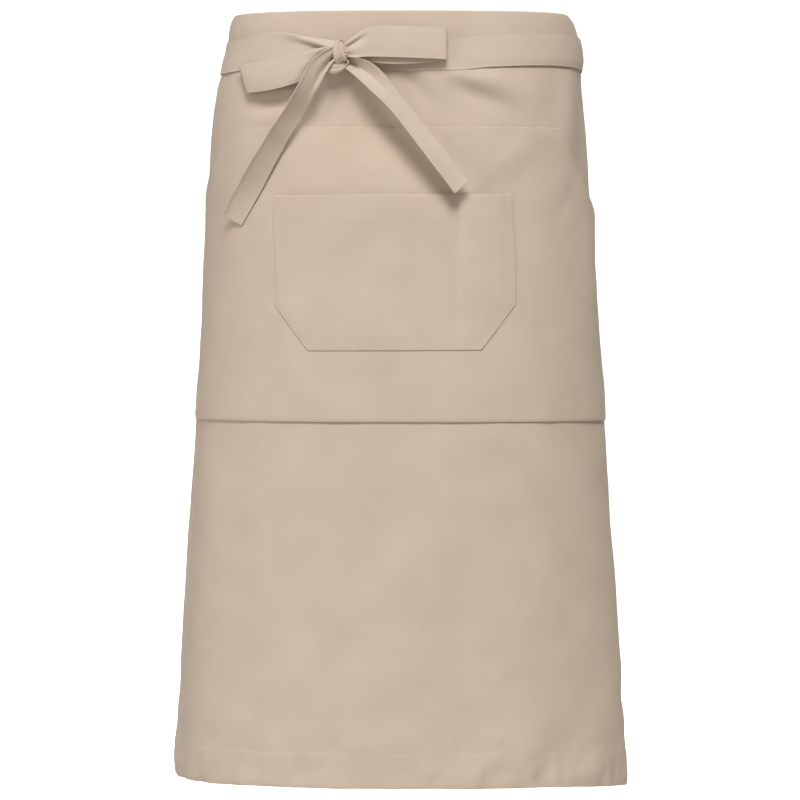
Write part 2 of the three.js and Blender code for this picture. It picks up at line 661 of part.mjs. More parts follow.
// The knot's lumps as shares of its width, height and depth: the wrap in front, the core that the strings
// leave from, and the lump below where the tails leave.
const KNOT_LUMPS = [
  { right: 0, up: 0, ahead: 0.06, width: 0.66, height: 0.92, depth: 0.88 },
  { right: 0, up: 0.02, ahead: -0.05, width: 1, height: 0.62, depth: 0.8 },
  { right: -0.24, up: -0.5, ahead: 0, width: 0.78, height: 0.66, depth: 0.74 },
];
const LUMP_SIDES = 12;
function knotSolid(grown) {
  const centre = onCloth(KNOT_ACROSS, KNOT_RISE, knotStand);
  const out = outward(KNOT_ACROSS, TOP_RISE - KNOT_RISE);
  const facing = Math.atan2(out.x, -out.y);
  return KNOT_LUMPS.map(({ right, up, ahead, width, height, depth }) => {
    const lump = new THREE.SphereGeometry(0.5, LUMP_SIDES, LUMP_SIDES - 4);
    lump.scale(
      KNOT_WIDTH * width + 2 * grown,
      KNOT_DEPTH * depth + 2 * grown,
      KNOT_HEIGHT * height + 2 * grown,
    );
    lump.translate(right * KNOT_WIDTH, -ahead * KNOT_DEPTH, up * KNOT_HEIGHT);
    lump.rotateZ(facing);
    lump.translate(centre.x, centre.y, centre.z);
    return solidOf(lump);
  }).reduce((whole, lump) => whole.add(lump));
}

// Each string, loop and tail ends against the knot, so what would lie inside it is cut away.
const knotRoom = knotSolid(GAP);
function cutAtKnot(geometry) {
  const pieces = solidOf(geometry).subtract(knotRoom).decompose();
  const largest = pieces.reduce((best, piece) => (piece.volume() > best.volume() ? piece : best));
  return geometryOf(largest);
}

const apron = new THREE.Group();
function add(name, geometry, hex) {
  const mesh = new THREE.Mesh(geometry, clothMaterial(hex));
  mesh.name = name;
  apron.add(mesh);
}

add("skirt_panel", skirtPanel(), 0xc9b7a6);
add("waistband", waistband(), 0xcfbfb0);
add("pouch_panel", pouchPanel(), 0xc9b7a6);
add("patch_pocket", patchPocket(), 0xcab8a7);
add("string_from_left", cutAtKnot(waistString(-1, LEFT_STRING_RUN)), 0xc8b7a6);
add("string_from_right", cutAtKnot(waistString(1, RIGHT_STRING_RUN)), 0xc8b7a6);
add("bow_knot", geometryOf(knotSolid(0)), 0xc1b19f);
add("left_loop", cutAtKnot(bowLoop(LEFT_LOOP, -1, LEFT_LOOP_LENGTH)), 0xd3c8b5);
add("right_loop", cutAtKnot(bowLoop(RIGHT_LOOP, 1, RIGHT_LOOP_LENGTH)), 0xd3c8b5);
add("left_tail", cutAtKnot(bowTail(LEFT_TAIL, -1, LEFT_TAIL_LENGTH)), 0xb8a693);
add("right_tail", cutAtKnot(bowTail(RIGHT_TAIL, 1, RIGHT_TAIL_LENGTH)), 0xb8a693);

export default apron;
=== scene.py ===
# %% [markdown]
# # A long waist apron, as it is worn
# The real apron is sewn from one weight of polyester and cotton twill: a skirt cloth, a band folded over its
# top, a wide pouch with slanted hand openings, a patch pocket, and two strings tied in a bow in front.
# Everything here is cloth, so the lesson is about one idea: a flat piece with known sizes is laid on a form,
# and its folds, seams and stitches are worked out on the flat cloth before it is bent round.

# %% Load the frame
import math

import bmesh
import bpy
import numpy as np
from mathutils import Matrix, Vector


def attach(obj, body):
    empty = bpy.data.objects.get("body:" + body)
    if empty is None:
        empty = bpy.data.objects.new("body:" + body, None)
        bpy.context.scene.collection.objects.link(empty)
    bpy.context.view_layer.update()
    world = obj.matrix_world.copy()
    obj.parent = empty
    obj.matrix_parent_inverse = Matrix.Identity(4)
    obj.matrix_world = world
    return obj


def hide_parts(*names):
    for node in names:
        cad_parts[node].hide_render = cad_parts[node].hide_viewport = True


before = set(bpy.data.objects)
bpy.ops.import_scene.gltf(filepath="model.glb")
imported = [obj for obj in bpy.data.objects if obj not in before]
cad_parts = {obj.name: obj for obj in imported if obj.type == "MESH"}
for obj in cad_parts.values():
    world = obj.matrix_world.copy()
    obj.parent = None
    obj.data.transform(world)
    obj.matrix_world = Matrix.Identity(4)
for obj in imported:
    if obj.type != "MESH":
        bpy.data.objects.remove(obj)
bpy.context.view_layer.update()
scene = bpy.context.scene

# %% [markdown]
# ## The sizes of the cut cloth
# A maker starts from flat sizes. These are the apron's, in millimetres turned into metres, and every piece
# below takes its place from them. Across is measured along the cloth from the middle of the front, and drop
# is measured down from the band's top.

# %% Sizes of the cloth
MM = 0.001
CLOTH = 0.9 * MM  # a hemmed edge is three layers of twill
STRING_CLOTH = 1.15 * MM
SKIRT_WIDTH, SKIRT_DROP, HEM_FOLD, SIDE_FOLD = 720 * MM, 795 * MM, 38 * MM, 12 * MM
TOP_RISE, BAND_HEIGHT = 45 * MM, 50 * MM
POUCH_TOP_DROP, POUCH_HEM_DROP, POUCH_TOP_WIDTH = 120 * MM, 421 * MM, 340 * MM
OPENING_DROP, LEFT_OPENING_BOW, RIGHT_OPENING_BOW, POUCH_HEM_FOLD = 148 * MM, 0.92, 4, 22 * MM
POCKET_DROP, POCKET_WIDTH, POCKET_HEIGHT, POCKET_SHIFT = 189 * MM, 248 * MM, 159 * MM, -8 * MM
POCKET_HEM_FOLD, CORNER_WIDTH, CORNER_HEIGHT, DIVIDER_INSET = 28 * MM, 35 * MM, 46 * MM, 57 * MM
STRING_WIDTH, STRING_SEWN = 33 * MM, 18 * MM
SKIRT_HALF = SKIRT_WIDTH / 2
print("cut skirt:", SKIRT_WIDTH, "by", round(SKIRT_DROP + HEM_FOLD, 3), "m")

# %% [markdown]
# ## The camera
# The photograph was taken from about four and a half metres with a long lens, at the height of the thighs.
# A camera that looks straight at the middle of the frame needs no shift, so other views stay centred too.

# %% Camera
CAMERA_PLACE = Vector((0, -4500 * MM, -223 * MM))
FRAME_MIDDLE = Vector((0, 0, -357.4 * MM))
FRAME_WIDTH = 840 * MM  # what the frame takes in at the waist's centre


def add_object(name, data):
    obj = bpy.data.objects.new(name, data)
    scene.collection.objects.link(obj)
    return obj


camera = add_object("camera", bpy.data.cameras.new("camera"))
camera.location = CAMERA_PLACE
camera.rotation_euler = (FRAME_MIDDLE - CAMERA_PLACE).to_track_quat("-Z", "Y").to_euler()
camera.data.angle = 2 * math.atan(FRAME_WIDTH / 2 / (FRAME_MIDDLE - CAMERA_PLACE).length)
scene.camera = camera
print("camera's angle of view:", round(math.degrees(camera.data.angle), 2), "degrees")

# %% [markdown]
# ## The form under the cloth
# A worn skirt is nearly a cone with a squarish oval section: flat in front, round at the hips, and wider
# towards the hem. A cloth can't stretch, so the section is walked along by its real length. A short table
# says how the oval grows as the cloth falls, and a smooth curve is read through each of its columns. A second
# table moves both sides a few millimetres to the right or left, since nobody stands quite straight.

# %% Read a smooth curve from a table
def table(text):
    """Columns of numbers by their names, from a heading and rows of text."""
    names, *rows = (line.split() for line in text.strip().splitlines())
    return {name: np.array([float(value) for value in column]) for name, column in zip(names, zip(*rows))}


def smooth_step(t, start, rise, leave, arrive):
    """A curve from start that climbs a rise as t goes from 0 to 1, with a slope to leave and to arrive by."""
    return start + t * (leave + t * (3 * rise - 2 * leave - arrive + t * (leave + arrive - 2 * rise)))


def read(rows, place, column, where):
    """A smooth curve through one column of a table, whose rows are placed by another column."""
    x, y = rows[place], rows[column]
    slope = np.diff(y) / np.diff(x)
    lean = np.empty_like(y)
    lean[0], lean[-1] = slope[0], slope[-1]
    both = slope[:-1] + slope[1:]
    same_way = slope[:-1] * slope[1:] > 0
    lean[1:-1] = np.where(same_way, 2 * slope[:-1] * slope[1:] / np.where(same_way, both, 1), 0)
    k = np.clip(np.searchsorted(x, where) - 1, 0, len(x) - 2)
    step, rise = x[k + 1] - x[k], y[k + 1] - y[k]
    t = (where - x[k]) / step
    return smooth_step(t, y[k], rise, lean[k] * step, lean[k + 1] * step)


# %% The oval sections of the worn skirt
WAIST_WIDTH, WAIST_DEPTH, HEM_WIDTH, HEM_FORWARD = 369 * MM, 224 * MM, 476 * MM, 33 * MM
SETBACK = {-1: 55 * MM, 1: 5 * MM}  # how far behind the waist's centre the hem is widest, left and right
SQUARENESS = {-1: 2.4, 1: 2.9}  # the right hip is squarer
SHAPE = table("""
drop flare forward setback
0 -0.243 -0.1 0
0.012 -0.135 -0.06 0
0.025 -0.08 -0.03 0
0.057 0 0 0
0.1 0.11 0.1 0.04
0.16 0.19 0.2 0.12
0.24 0.255 0.32 0.25
0.34 0.35 0.46 0.42
0.43 0.43 0.58 0.55
0.55 0.56 0.7 0.68
0.7 0.7 0.82 0.8
0.85 0.85 0.92 0.91
1 1 1 1
""")
ASKEW = table("""
drop shift
0 1
0.012 2
0.025 3
0.045 4.2
0.057 3.8
0.075 1.8
0.1 -0.8
0.16 -1.7
0.24 -2.6
0.34 -1.2
0.43 -0.2
0.55 -1.5
0.7 -2
0.85 -2
1 -1.6
""")
DROP_STEP, ACROSS_STEP, ACROSS_MOST = 2.5 * MM, MM, 520 * MM
DROPS = np.arange(0, SKIRT_DROP + 6 * DROP_STEP, DROP_STEP)
REACHES = np.arange(0, ACROSS_MOST, ACROSS_STEP)


def walk_round(side):
    """The section's x and y at each drop and each length from the front's centre, and half its round."""
    share = DROPS[:, None] / SKIRT_DROP
    half = (WAIST_WIDTH + (HEM_WIDTH - WAIST_WIDTH) * read(SHAPE, "drop", "flare", share)) / 2
    half = half + side * read(ASKEW, "drop", "shift", share) * MM
    front = WAIST_DEPTH / 2 + HEM_FORWARD * read(SHAPE, "drop", "forward", share)
    widest = SETBACK[side] * read(SHAPE, "drop", "setback", share)
    angle = np.linspace(0, math.pi, 721)[None, :]
    ahead = np.cos(angle)
    bend = 2 / SQUARENESS[side]
    x = side * half * np.abs(np.sin(angle)) ** bend
    y = widest - np.sign(ahead) * (front + widest) * np.abs(ahead) ** bend
    length = np.concatenate(
        [np.zeros((len(DROPS), 1)), np.cumsum(np.hypot(np.diff(x), np.diff(y)), axis=1)], axis=1
    )
    at = lambda values: np.array([np.interp(REACHES, length[k], values[k]) for k in range(len(DROPS))])
    return at(x), at(y), length[:, -1]


ROUND = {side: walk_round(side) for side in (-1, 1)}


# %% Find a point of the section
def half_round(drop, side):
    return np.interp(drop, DROPS, ROUND[side][2])


WAIST_ROUND = float(half_round(TOP_RISE, -1) + half_round(TOP_RISE, 1))
print("round at the waist:", round(WAIST_ROUND, 3), "m")


def between(grid, i, j, p, q):
    """A value between four neighbours of a grid, at shares p and q of the way to the next ones."""
    near = grid[i, j] * (1 - q) + grid[i, j + 1] * q
    far = grid[i + 1, j] * (1 - q) + grid[i + 1, j + 1] * q
    return near * (1 - p) + far * p


def look_up(grid, reach, drop):
    i = np.clip(drop / DROP_STEP, 0, len(DROPS) - 1.001)
    j = np.clip(reach / ACROSS_STEP, 0, len(REACHES) - 1.001)
    i0, j0 = i.astype(int), j.astype(int)
    return between(grid, i0, j0, i - i0, j - j0)


def section_point(across, drop):
    """x and y on the worn cloth. Behind its edges, where only strings go, both sides meet at the back."""
    edge, reach, middle = SKIRT_HALF, np.abs(across), WAIST_ROUND / 2
    x, y = np.zeros_like(reach), np.zeros_like(reach)
    for side in (-1, 1):
        behind = half_round(drop, side) - edge
        shared = edge + (reach - edge) * behind / (middle - edge)
        along = np.where(reach <= edge, reach, shared)
        mine = (across < 0) == (side < 0)
        x = np.where(mine, look_up(ROUND[side][0], along, drop), x)
        y = np.where(mine, look_up(ROUND[side][1], along, drop), y)
    return x, y


# %% [markdown]
# ## The folds
# Soft folds come from the pull of the strings and from the hips. Each is a long low mound or dent, placed by
# a row of a table, so that the same fold shows in the skirt and in every cloth that lies on it. Small creases
# where the bow pulls the cloth have their own table: the bow's ends bridge them. A little smooth random height
# keeps the cloth from looking like sheet metal.

# %% Folds and gentle unevenness
FOLD_DEPTH = 5 * MM
FOLDS = table("""
across drop length width lean height
-0.3 0.135 0.05 0.04 -68 -0.5
0.02 0.16 0.07 0.06 -40 -0.9
0.17 0.115 0.06 0.04 -52 -0.5
0.27 0.1 0.06 0.045 -68 0.5
0.38 0.205 0.07 0.05 58 -0.22
0.62 0.3 0.11 0.06 4 0.9
-0.63 0.7 0.32 0.09 2 0.9
0.5 0.86 0.28 0.1 -2 -0.7
0.72 0.8 0.3 0.08 -3 0.9
-0.2 0.95 0.2 0.1 3 -0.5
""")
CREASES = table("""
across drop length width lean height
0.05 0.1 0.034 0.028 -35 -1.15
0.105 0.094 0.034 0.03 -42 0.55
0.2 0.084 0.06 0.032 -74 0.75
0.235 0.112 0.045 0.028 -68 -0.95
0.0 0.178 0.06 0.045 -43 -1.1
-0.37 0.118 0.03 0.022 76 -0.85
-0.35 0.136 0.032 0.024 78 0.4
-0.18 0.118 0.028 0.03 20 -0.5
0.3 0.19 0.07 0.034 58 0.2
0.34 0.212 0.06 0.036 58 -0.1
0.5 0.245 0.04 0.03 30 -0.3
-0.1 0.142 0.05 0.11 -8 -1.5
0.51 0.125 0.05 0.042 4 0.8
0.6 0.13 0.05 0.035 4 -0.5
0.21 0.079 0.008 0.01 -80 -0.3
0.26 0.077 0.007 0.009 -70 -0.25
-0.5 0.25 0.09 0.05 12 0.4
0.12 0.62 0.16 0.08 14 0.4
-0.3 0.78 0.14 0.07 -12 -0.35
""")
LATTICE = 128
LUMPS = ((0.9 * MM, 66 * MM, 5), (0.42 * MM, 26 * MM, 9), (0.11 * MM, 10 * MM, 6))  # height, size, seed


def soft_noise(x, y, size, seed):
    """Smooth random values from -1 to 1 with lumps of about that size."""
    lattice = np.random.default_rng(seed).uniform(-1, 1, (LATTICE, LATTICE))
    i, j = x / size + LATTICE / 2, y / size + LATTICE / 2
    i0, j0 = np.floor(i).astype(int) % (LATTICE - 1), np.floor(j).astype(int) % (LATTICE - 1)
    p, q = i - np.floor(i), j - np.floor(j)
    return between(lattice, i0, j0, p * p * (3 - 2 * p), q * q * (3 - 2 * q))


def fold_height(folds, across, drop):
    half = SKIRT_HALF
    height = np.zeros_like(across)
    for place, fall, length, width, lean, rise in zip(*folds.values()):
        x, up = across - place * half, fall * SKIRT_DROP - drop
        c, s = math.cos(math.radians(lean)), math.sin(math.radians(lean))
        along = (up * c + x * s) / (length * SKIRT_DROP)
        off = (x * c - up * s) / (width * half)
        height = height + rise * FOLD_DEPTH * np.exp(-along**2 - off**2)
    return height


def unevenness(across, drop):
    return sum(height * soft_noise(across, drop, size, seed) for height, size, seed in LUMPS)


# %% A place on the worn cloth
TURN_STEP = 3 * MM


def ramp(low, high, value):
    t = np.clip((value - low) / (high - low), 0, 1)
    return t * t * (3 - 2 * t)


def bell(value, middle, width):
    return np.exp(-(((value - middle) / width) ** 2))


def on_cloth(across, height, stand, creased=True):
    """Points at a length across the cloth, a height above the strings and a stand outwards."""
    across, height, stand = np.broadcast_arrays(*(np.asarray(v, float) for v in (across, height, stand)))
    drop = np.maximum(TOP_RISE - height, 0)
    x, y = section_point(across, drop)
    x0, y0 = section_point(across - TURN_STEP, drop)
    x1, y1 = section_point(across + TURN_STEP, drop)
    out = np.stack([y1 - y0, x0 - x1], -1)
    out /= np.linalg.norm(out, axis=-1, keepdims=True)
    stand = stand + fold_height(FOLDS, across, drop) + unevenness(across, drop)
    if creased:
        below_band = ramp(BAND_HEIGHT + 3 * MM, BAND_HEIGHT + 22 * MM, drop)
        stand = stand + fold_height(CREASES, across, drop) * below_band
    return np.stack([x + out[..., 0] * stand, y + out[..., 1] * stand, height], -1)


def hem_dip(across, drop):
    dip = np.where(across < 0, 4 * MM, 10 * MM)
    return dip * ramp(0.35, 1, np.abs(across) / SKIRT_HALF) * ramp(0.3, 1, drop / SKIRT_DROP)


# %% [markdown]
# ## From a flat grid to a sheet of cloth
# Each cloth starts as a grid made by an operator, whose rows and columns are then spread over the cut cloth,
# closer together where a seam or hem bends it. A function places every point of the flat cloth on the form.
# Solidify gives the cloth its thickness, and Bevel rounds its folded edges.

# %% Rows that gather near a seam
def graded(start, stop, step, marks=(), fine=0.7 * MM, growth=0.3):
    """Positions from start to stop, a step apart, and closer near each mark."""
    places = np.linspace(start, stop, 6000)
    spacing = np.full(places.shape, step)
    for mark in marks:
        spacing = np.minimum(spacing, fine + growth * np.abs(places - mark))
    count = np.concatenate([[0], np.cumsum(np.diff(places) / ((spacing[1:] + spacing[:-1]) / 2))])
    return np.interp(np.linspace(0, count[-1], math.ceil(count[-1]) + 1), count, places)


# %% Lay a grid and thicken it
EDGE_ROUND = 0.35  # of the cloth's thickness


def laid_grid(name, columns, rows, place):
    """A sheet whose point at a column and a row is placed by a function, which also gives its flat place."""
    bm = bmesh.new()
    bmesh.ops.create_grid(bm, x_segments=len(columns) - 1, y_segments=len(rows) - 1, size=1)
    mesh = bpy.data.meshes.new(name)
    bm.to_mesh(mesh)
    bm.free()
    flat = np.zeros(len(mesh.vertices) * 3)
    mesh.vertices.foreach_get("co", flat)
    flat = flat.reshape(-1, 3)
    i = np.rint((flat[:, 0] + 1) / 2 * (len(columns) - 1)).astype(int)
    j = np.rint((1 - flat[:, 1]) / 2 * (len(rows) - 1)).astype(int)
    cut_x, cut_y, points = place(columns[i], rows[j])
    mesh.vertices.foreach_set("co", np.ascontiguousarray(points, float).ravel())
    corners = np.zeros(len(mesh.loops), int)
    mesh.loops.foreach_get("vertex_index", corners)
    weave = mesh.uv_layers.new(name="weave")
    weave.data.foreach_set("uv", np.stack([cut_x[corners], cut_y[corners]], -1).ravel())
    return mesh


def lay_cloth(name, columns, rows, place, thickness=CLOTH):
    """The object of a cloth: its sheet thickened on both faces, with its edges rounded."""
    obj = add_object(name, laid_grid(name, columns, rows, place))
    wall = obj.modifiers.new("thickness", "SOLIDIFY")
    wall.thickness, wall.offset, wall.use_even_offset = thickness, 0, False
    rounding = obj.modifiers.new("folded edge", "BEVEL")
    rounding.width, rounding.segments, rounding.limit_method = EDGE_ROUND * thickness, 2, "ANGLE"
    rounding.angle_limit = math.radians(60)
    bpy.context.view_layer.update()
    finished = bpy.data.meshes.new_from_object(obj.evaluated_get(bpy.context.evaluated_depsgraph_get()))
    obj.modifiers.clear()
    obj.data = finished
    finished.name = name
    finished.shade_smooth()
    finished.calc_loop_triangles()
    print(f"{name}: {len(finished.loop_triangles)} triangles")
    return obj


# %% What a line of stitches does to the cloth
STITCH_SINK, STITCH_REACH, PUCKER = 0.2 * MM, MM, 0.12 * MM
ROLL, ROLL_REACH = 0.5 * MM, 0.8 * MM


def sewn(distance, along, pucker=1.0, seed=3):
    """The dip along a line of stitches, and the small puckers beside it."""
    dip = -STITCH_SINK * bell(distance, 0, STITCH_REACH)
    ripples = soft_noise(along, distance, 7 * MM, seed) + 0.6 * np.sin(along / (2.4 * MM) + 2 * seed)
    return dip + pucker * PUCKER * ripples * np.exp(-np.abs(distance) / (7 * MM))


def rolled(edge):
    """A folded edge turns back towards the body in its last millimetre."""
    return -ROLL * np.exp(-np.maximum(edge, 0) / ROLL_REACH)


# %% Note where a seam runs
SEAMS = {}
STITCH_PITCH, BARTACK_WIDTH, BARTACK_STEP = 2.8 * MM, 2.4 * MM, 0.7 * MM


def on_face(place, a, b, small, thickness):
    """Points on a cloth's outer face, with its way out there, from the function that lays the cloth."""
    a, b = np.broadcast_arrays(np.asarray(a, float), np.asarray(b, float))
    point = place(a, b)[2]
    out = np.cross(place(a + small[0], b)[2] - point, place(a, b + small[1])[2] - point)
    out /= np.linalg.norm(out, axis=-1, keepdims=True)
    away = point * np.array([1, 1, 0])
    out = np.where(np.sum(out * away, axis=-1, keepdims=True) < 0, -out, out)
    return point + out * (thickness / 2), out


def seam(group, place, a, b, small=(0.3 * MM, 0.3 * MM), thickness=CLOTH):
    SEAMS.setdefault(group, []).append(on_face(place, a, b, small, thickness) + (STITCH_PITCH,))


def bartack(group, place, a, b, small):
    """A short dense zigzag between two places, which keeps a pocket's corner from tearing."""
    ends, out = on_face(place, np.array(a), np.array(b), small, CLOTH)
    length = np.linalg.norm(ends[1] - ends[0])
    steps = int(length / BARTACK_STEP)
    along = np.linspace(0, 1, steps)[:, None]
    way = (ends[1] - ends[0]) / length
    swing = np.where(np.arange(steps) % 2 == 0, 0.5, -0.5)[:, None] * BARTACK_WIDTH
    line = ends[0] + (ends[1] - ends[0]) * along + np.cross(out[0], way) * swing
    pitch = math.hypot(BARTACK_WIDTH, BARTACK_STEP)
    SEAMS.setdefault(group, []).append((line, np.repeat(out[:1], steps, 0), pitch))


# %% [markdown]
# ## The skirt
# The main cloth is a rectangle of 720 by 833 mm before hemming. Its hem is turned up 38 mm and sewn with one
# row of stitches, which always pulls the cloth a little: short upright waves stand in the hem below it.

# %% Skirt
HEM_STITCH = SKIRT_DROP - HEM_FOLD + 2 * MM
SIDE_STITCH = SKIRT_HALF - SIDE_FOLD + 2 * MM
HEM_WAVE, HEM_CRUMPLE, HEM_TUCK = 2.3 * MM, 1.2 * MM, 2.6 * MM


def skirt_stand(across, drop):
    in_hem = ramp(HEM_STITCH - 3 * MM, HEM_STITCH + 3 * MM, drop)
    waves = 0.75 * soft_noise(across, drop / 4, 19 * MM, 21)
    waves = waves + 0.45 * soft_noise(across, drop / 3, 9 * MM, 22)
    waves = waves + 0.55 * soft_noise(across + drop / 2, drop, 15 * MM, 23)
    near_hem = ramp(SKIRT_DROP - 75 * MM, SKIRT_DROP - 15 * MM, drop)
    low = ramp(SKIRT_DROP - 150 * MM, SKIRT_DROP - 70 * MM, drop)
    crumpled = soft_noise(across, drop * 1.5, 34 * MM, 24) * low
    side = np.abs(across) - SIDE_STITCH
    return (
        sewn(drop - HEM_STITCH, across, 1.6, 4)
        + 0.3 * MM * in_hem
        + HEM_WAVE * waves * near_hem
        + HEM_CRUMPLE * crumpled
        - HEM_TUCK * ramp(SKIRT_DROP - 60 * MM, SKIRT_DROP + 40 * MM, drop)
        + rolled(np.minimum(SKIRT_DROP - drop, SKIRT_HALF - np.abs(across)))
        + sewn(side, drop, 0.8, 6) * ramp(BAND_HEIGHT, BAND_HEIGHT + 20 * MM, drop)
    )


def place_skirt(across, drop):
    height = TOP_RISE - drop - hem_dip(across, drop)
    height = height - 0.5 * MM * soft_noise(across, drop, 30 * MM, 25) * ramp(0.9, 1, drop / SKIRT_DROP)
    return across, drop, on_cloth(across, height, skirt_stand(across, drop))


SKIRT_TOP = 4 * MM
skirt_columns = graded(-SKIRT_HALF, SKIRT_HALF, 3.9 * MM, (-SIDE_STITCH, SIDE_STITCH))
skirt_rows = np.concatenate([
    graded(SKIRT_TOP, POUCH_TOP_DROP, 3.6 * MM)[:-1],
    graded(POUCH_TOP_DROP, POUCH_HEM_DROP, 5.5 * MM)[:-1],
    graded(POUCH_HEM_DROP, SKIRT_DROP, 4.2 * MM, (HEM_STITCH,)),
])
skirt = lay_cloth("skirt_cloth", skirt_columns, skirt_rows, place_skirt)
seam("skirt", place_skirt, np.linspace(-SIDE_STITCH, SIDE_STITCH, 400), HEM_STITCH)
for side in (-1, 1):
    seam("skirt", place_skirt, side * SIDE_STITCH, np.linspace(BAND_HEIGHT + 2 * MM, SKIRT_DROP - MM, 400))

# %% [markdown]
# ## The waistband
# A strip about 10 cm wide is folded over the skirt's raw top edge and sewn through at its foot. The profile of
# the fold is walked along by its length, as the form was: up the outer leg, round the top and down inside.

# %% Waistband
BAND_STAND = 1.4 * MM
BAND_TURN = 2.5 * MM  # drop at which the fold at the top begins
BAND_LEG = BAND_HEIGHT - BAND_TURN
BAND_LENGTH = 2 * BAND_LEG + math.pi * BAND_STAND


def place_band(across, along):
    angle = np.clip((along - BAND_LEG) / BAND_STAND, 0, math.pi)
    foot = TOP_RISE - BAND_HEIGHT
    down = np.maximum(along - BAND_LEG - math.pi * BAND_STAND, 0)
    height = foot + np.minimum(along, BAND_LEG) + BAND_STAND * np.sin(angle) - down
    inside = ramp(0, BAND_LEG / 2, np.minimum(along, BAND_LENGTH - along))
    crush = soft_noise(across, along, 26 * MM, 31) * inside
    stand = BAND_STAND * np.cos(angle) + 0.25 * MM * crush * np.cos(angle)
    stand = stand + sewn(along - 2 * MM, across, 1, 8) + rolled(along)
    return across, along, on_cloth(across, height, stand)


band_columns = graded(-SKIRT_HALF, SKIRT_HALF, 4 * MM)
band_rows = graded(0, BAND_LENGTH, 4 * MM, (2 * MM, BAND_LEG, BAND_LEG + math.pi * BAND_STAND))[::-1]
band = lay_cloth("folded_waistband", band_columns, band_rows, place_band)
seam("waistband", place_band, np.linspace(-SKIRT_HALF + MM, SKIRT_HALF - MM, 400), 2 * MM)

# %% [markdown]
# ## The pouch
# The wide overlay is a shorter cloth with its two upper corners cut on a slant for the hands. It is sewn
# along its top and its sides, and its hem hangs a little clear of the skirt, which gives the soft shadow
# under it. The grid's columns are drawn in towards the top, so that its edges follow the slants.

# %% Pouch
LAID = 1.4 * MM  # from the middle of one cloth to the middle of a cloth sewn on it
POUCH_HANG, POUCH_LOOSE, LEFT_GAPE, RIGHT_GAPE = 0.9 * MM, 0.6 * MM, 1.4 * MM, 2.6 * MM
OPENING_REACH = (SKIRT_WIDTH - POUCH_TOP_WIDTH) / 2
OPENING_END = POUCH_TOP_DROP + OPENING_DROP
SLANT_STITCH, TOP_STITCH = 6 * MM, 2 * MM


def pouch_half(drop, side):
    """The left opening is cut almost straight. The right one drops steeply before it runs out to the side."""
    share = np.clip((drop - POUCH_TOP_DROP) / OPENING_DROP, 0, 1)
    left, right = share**LEFT_OPENING_BOW, 0.47 * share + 0.53 * share**RIGHT_OPENING_BOW
    return POUCH_TOP_WIDTH / 2 + OPENING_REACH * np.where(side < 0, left, right)


def pouch_stand(across, drop):
    """How far the pouch's middle surface stands off the skirt's."""
    share = np.clip((drop - POUCH_TOP_DROP) / OPENING_DROP, 0.001, 1)
    half = pouch_half(drop, across)
    steep = (pouch_half(drop + MM, across) - half) / MM
    edge = (half - np.abs(across)) / np.hypot(1, steep)
    top, hem = drop - POUCH_TOP_DROP, POUCH_HEM_DROP - drop
    loose = POUCH_LOOSE * ramp(2 * MM, 30 * MM, np.minimum(np.minimum(edge, top), hem + 8 * MM))
    inward = 1 - ramp(0.45, 0.9, np.abs(across) / SKIRT_HALF)
    hang = POUCH_HANG * inward * ramp(OPENING_END, POUCH_HEM_DROP, drop)
    gape = np.where(across < 0, LEFT_GAPE, RIGHT_GAPE) * bell(edge, 0, 16 * MM)
    gape = gape * np.sin(math.pi * share) * (share < 1)
    waves = 0.5 * MM * soft_noise(across, drop / 3, 17 * MM, 41) * ramp(70 * MM, 10 * MM, hem)
    slant = sewn(edge - SLANT_STITCH, drop, 0.8, 11) * (drop < OPENING_END)
    side = sewn(edge - SIDE_FOLD + 2 * MM, drop, 0.8, 12) * (drop >= OPENING_END)
    seams = slant + side + sewn(top - TOP_STITCH, across, 1, 13)
    seams = seams + 0.5 * sewn(hem - POUCH_HEM_FOLD + 2 * MM, across, 1, 14)
    return LAID + loose + hang + gape + waves + seams + rolled(np.minimum(np.minimum(edge, top), hem))


def place_pouch(column, drop):
    across = column * pouch_half(drop, column)
    height = TOP_RISE - drop - hem_dip(across, drop)
    return across, drop, on_cloth(across, height, pouch_stand(across, drop))


edge_share = 1 - SLANT_STITCH / SKIRT_HALF
pouch_columns = graded(-1, 1, 0.0115, (-1, -edge_share, edge_share, 1), 0.003)
POUCH_HEM_STITCH = POUCH_HEM_DROP - POUCH_HEM_FOLD + 2 * MM
pouch_marks = (POUCH_TOP_DROP, POUCH_TOP_DROP + TOP_STITCH, OPENING_END, POUCH_HEM_STITCH)
pouch_rows = graded(POUCH_TOP_DROP, POUCH_HEM_DROP, 3.4 * MM, pouch_marks)
pouch = lay_cloth("pouch_cloth", pouch_columns, pouch_rows, place_pouch)
tiny = (0.001, 0.3 * MM)
seam("pouch", place_pouch, np.linspace(-0.98, 0.98, 300), POUCH_TOP_DROP + TOP_STITCH, tiny)
seam("pouch", place_pouch, np.linspace(-0.995, 0.995, 400), POUCH_HEM_STITCH, tiny)
slant_drops = np.linspace(POUCH_TOP_DROP + 3 * MM, OPENING_END, 200)
side_drops = np.linspace(OPENING_END, POUCH_HEM_DROP - MM, 120)
for side in (-1, 1):
    half = pouch_half(slant_drops, side)
    steep = np.gradient(half, slant_drops)
    seam("pouch", place_pouch, side * (1 - SLANT_STITCH * np.hypot(1, steep) / half), slant_drops, tiny)
    seam("pouch", place_pouch, side * (1 - (SIDE_FOLD - 2 * MM) / SKIRT_HALF), side_drops, tiny)
    bartack("pouch", place_pouch, (side * 0.985, side * 0.91), (POUCH_TOP_DROP + 2 * MM,) * 2, tiny)

# %% [markdown]
# ## The patch pocket
# A pocket of 248 by 159 mm, with a deep hem at its mouth and its lower corners cut off. It is sewn down 2 mm
# inside its edge, and one more row of stitches parts off a slot for pens.

